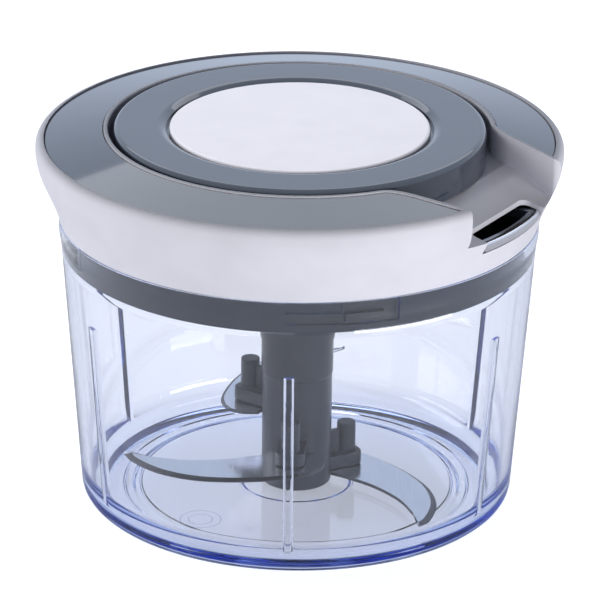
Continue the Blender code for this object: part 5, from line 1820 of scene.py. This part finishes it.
@dataclass
class Studio:
    """Plain pale floor, a white surround, soft lamps and the camera."""

    builder: Builder
    floor_colour: str = "b4b6bd"
    floor_roughness: float = 0.5
    floor_half: float = 1.5
    white: str = "ffffff"
    floor_drop: float = 0.3 * MM
    mirrored: str = "cfdcf2"
    floor_seen: Levels = Levels(0.4, 0.4, -0.36, 0.1)
    surround_seen: Levels = Levels(0.06, 0.94, 1.2, 0.81)
    centre_height: float = 58.2 * MM
    distance: float = 1400.0 * MM
    elevation: float = math.radians(22.2)
    roll: float = math.radians(0.63)
    focal_pixels: float = 4870.0
    frame_pixels: float = 600.0
    middle_pixel: float = 298.05
    sensor: float = 36.0
    clip: Point = (0.01, 20.0)
    bounces: int = 28
    softboxes: tuple[Softbox, ...] = (
        Softbox("left_softbox", (-1.1, 0.1, 0.5), (1.0, 0.6), 6.8),
        Softbox("front_softbox", (-0.6, -1.15, 0.32), (1.3, 0.5), 2.9),
        Softbox("right_softbox", (1.0, -0.8, 0.13), (1.2, 0.24), 9.2),
        Softbox("back_softbox", (0.0, 0.95, 0.95), (1.4, 0.5), 2.2, mirrored=True, off_cover=True),
        Softbox("top_softbox", (0.0, 0.25, 1.3), (0.9, 0.9), 10.2, off_cover=True),
    )

    def floor(self) -> None:
        """Makes the floor, which keeps the object's shadow and shows as white elsewhere."""
        shape = bmesh.new()
        bmesh.ops.create_grid(shape, x_segments=1, y_segments=1, size=self.floor_half)
        made = self.builder.piece("studio_floor", moved(shape, (0.0, 0.0, -self.floor_drop)))
        paint = bpy.data.materials.new("studio_floor_paper")
        paint.use_nodes = True
        tree = paint.node_tree
        values = {
            "Base Color": linear(self.floor_colour),
            "Roughness": self.floor_roughness,
            "Emission Color": linear(self.white),
            "Emission Strength": self.seen(tree, self.floor_seen),
        }
        set_sockets(tree.nodes["Principled BSDF"], values)
        made.data.materials.append(paint)

    def seen(self, tree: Tree, levels: Levels) -> Socket:
        """Gives a strength that depends on the kind of ray that meets it.

        Args:
            tree: The node tree.
            levels: Its strength for each kind of ray.

        Returns:
            The value socket.
        """
        rays = add_node(tree, "ShaderNodeLightPath").outputs
        total = add_node(tree, "ShaderNodeMath", {"operation": "ADD", 0: levels.light, 1: 0.0}).outputs[0]
        for name, level in (
            ("Is Camera Ray", levels.camera),
            ("Is Glossy Ray", levels.mirrored),
            ("Is Transmission Ray", levels.through - levels.mirrored),
        ):
            settings = {"operation": "MULTIPLY_ADD", 1: level}
            total = add_node(tree, "ShaderNodeMath", settings, {0: rays[name], 2: total}).outputs[0]
        return total

    def surround(self) -> None:
        """Makes the world: soft white light, seen as plain white."""
        world = bpy.data.worlds.new("studio")
        bpy.context.scene.world = world
        world.use_nodes = True
        tree = world.node_tree
        rays = add_node(tree, "ShaderNodeLightPath").outputs
        colours = {"data_type": "RGBA", 6: linear(self.white), 7: linear(self.mirrored)}
        tint = add_node(tree, "ShaderNodeMix", colours, {0: rays["Is Glossy Ray"]})
        strength = self.seen(tree, self.surround_seen)
        set_sockets(tree.nodes["Background"], {"Color": tint.outputs[2], "Strength": strength})

    def lamp(self, box: Softbox) -> bpy.types.Object:
        """Adds one soft lamp that faces the object.

        Args:
            box: Its place, size and power.

        Returns:
            The lamp.
        """
        light = bpy.data.lights.new(box.name, "AREA")
        light.shape = "RECTANGLE"
        light.size, light.size_y = box.size
        light.energy = box.watts
        lamp = bpy.data.objects.new(box.name, light)
        bpy.context.scene.collection.objects.link(lamp)
        lamp.location = box.place
        lamp.visible_glossy = box.mirrored
        way = Vector((0.0, 0.0, self.centre_height)) - Vector(box.place)
        lamp.rotation_euler = way.to_track_quat("-Z", "Y").to_euler()
        return lamp

    def keep_off(self, lamp: bpy.types.Object, shaded: bpy.types.Object) -> None:
        """Keeps a lamp's light off one piece, as a studio flag does.

        Args:
            lamp: The lamp.
            shaded: The piece that it doesn't light.
        """
        flagged = bpy.data.collections.new(f"{lamp.name}_flag")
        flagged.objects.link(shaded)
        flagged.collection_objects[0].light_linking.link_state = "EXCLUDE"
        lamp.light_linking.receiver_collection = flagged

    def camera(self) -> None:
        """Makes the camera at the photograph's angle."""
        data = bpy.data.cameras.new("photo_camera")
        data.sensor_width = self.sensor
        data.lens = self.focal_pixels / self.frame_pixels * self.sensor
        data.shift_x = (self.frame_pixels / 2 - self.middle_pixel) / self.frame_pixels
        data.clip_start, data.clip_end = self.clip
        camera = bpy.data.objects.new("photo_camera", data)
        bpy.context.scene.collection.objects.link(camera)
        back = Vector((0.0, -math.cos(self.elevation), math.sin(self.elevation)))
        centre = Vector((0.0, 0.0, self.centre_height))
        look = (-back).to_track_quat("-Z", "Y").to_matrix().to_4x4()
        place = Matrix.Translation(centre + back * self.distance)
        camera.matrix_world = place @ look @ Matrix.Rotation(self.roll, 4, "Z")
        bpy.context.scene.camera = camera

    def build(self, cover: bpy.types.Object) -> None:
        """Makes floor, surround, lamps and camera.

        Args:
            cover: The lid's cover, which some lamps are kept off so that its gap stays in shade.
        """
        self.floor()
        self.surround()
        for box in self.softboxes:
            lamp = self.lamp(box)
            if box.off_cover:
                self.keep_off(lamp, cover)
        self.camera()
        bpy.context.scene.view_settings.view_transform = "Standard"
        paths = bpy.context.scene.cycles
        paths.max_bounces = paths.glossy_bounces = paths.transmission_bounces = self.bounces
        log.info("studio: floor, surround, lamps and camera")


def main() -> None:
    """Builds every piece, dresses the kept nodes and sets up the studio."""
    logging.basicConfig(level=logging.INFO, format="%(name)s: %(message)s")
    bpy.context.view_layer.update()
    builder = Builder()
    lid = LidSizes()
    gap = Gap(lid)
    underside = LidUnderside(builder, lid)
    Bowl(builder).build()
    cover = Cover(builder, lid, gap).build()
    SpringHousing(builder, lid).build()
    underside.build()
    BladeSet(builder).build()
    PullHandle(builder, lid, underside).build()
    KeptNodes().dress()
    Studio(builder).build(cover)


if __name__ == "__main__":
    main()
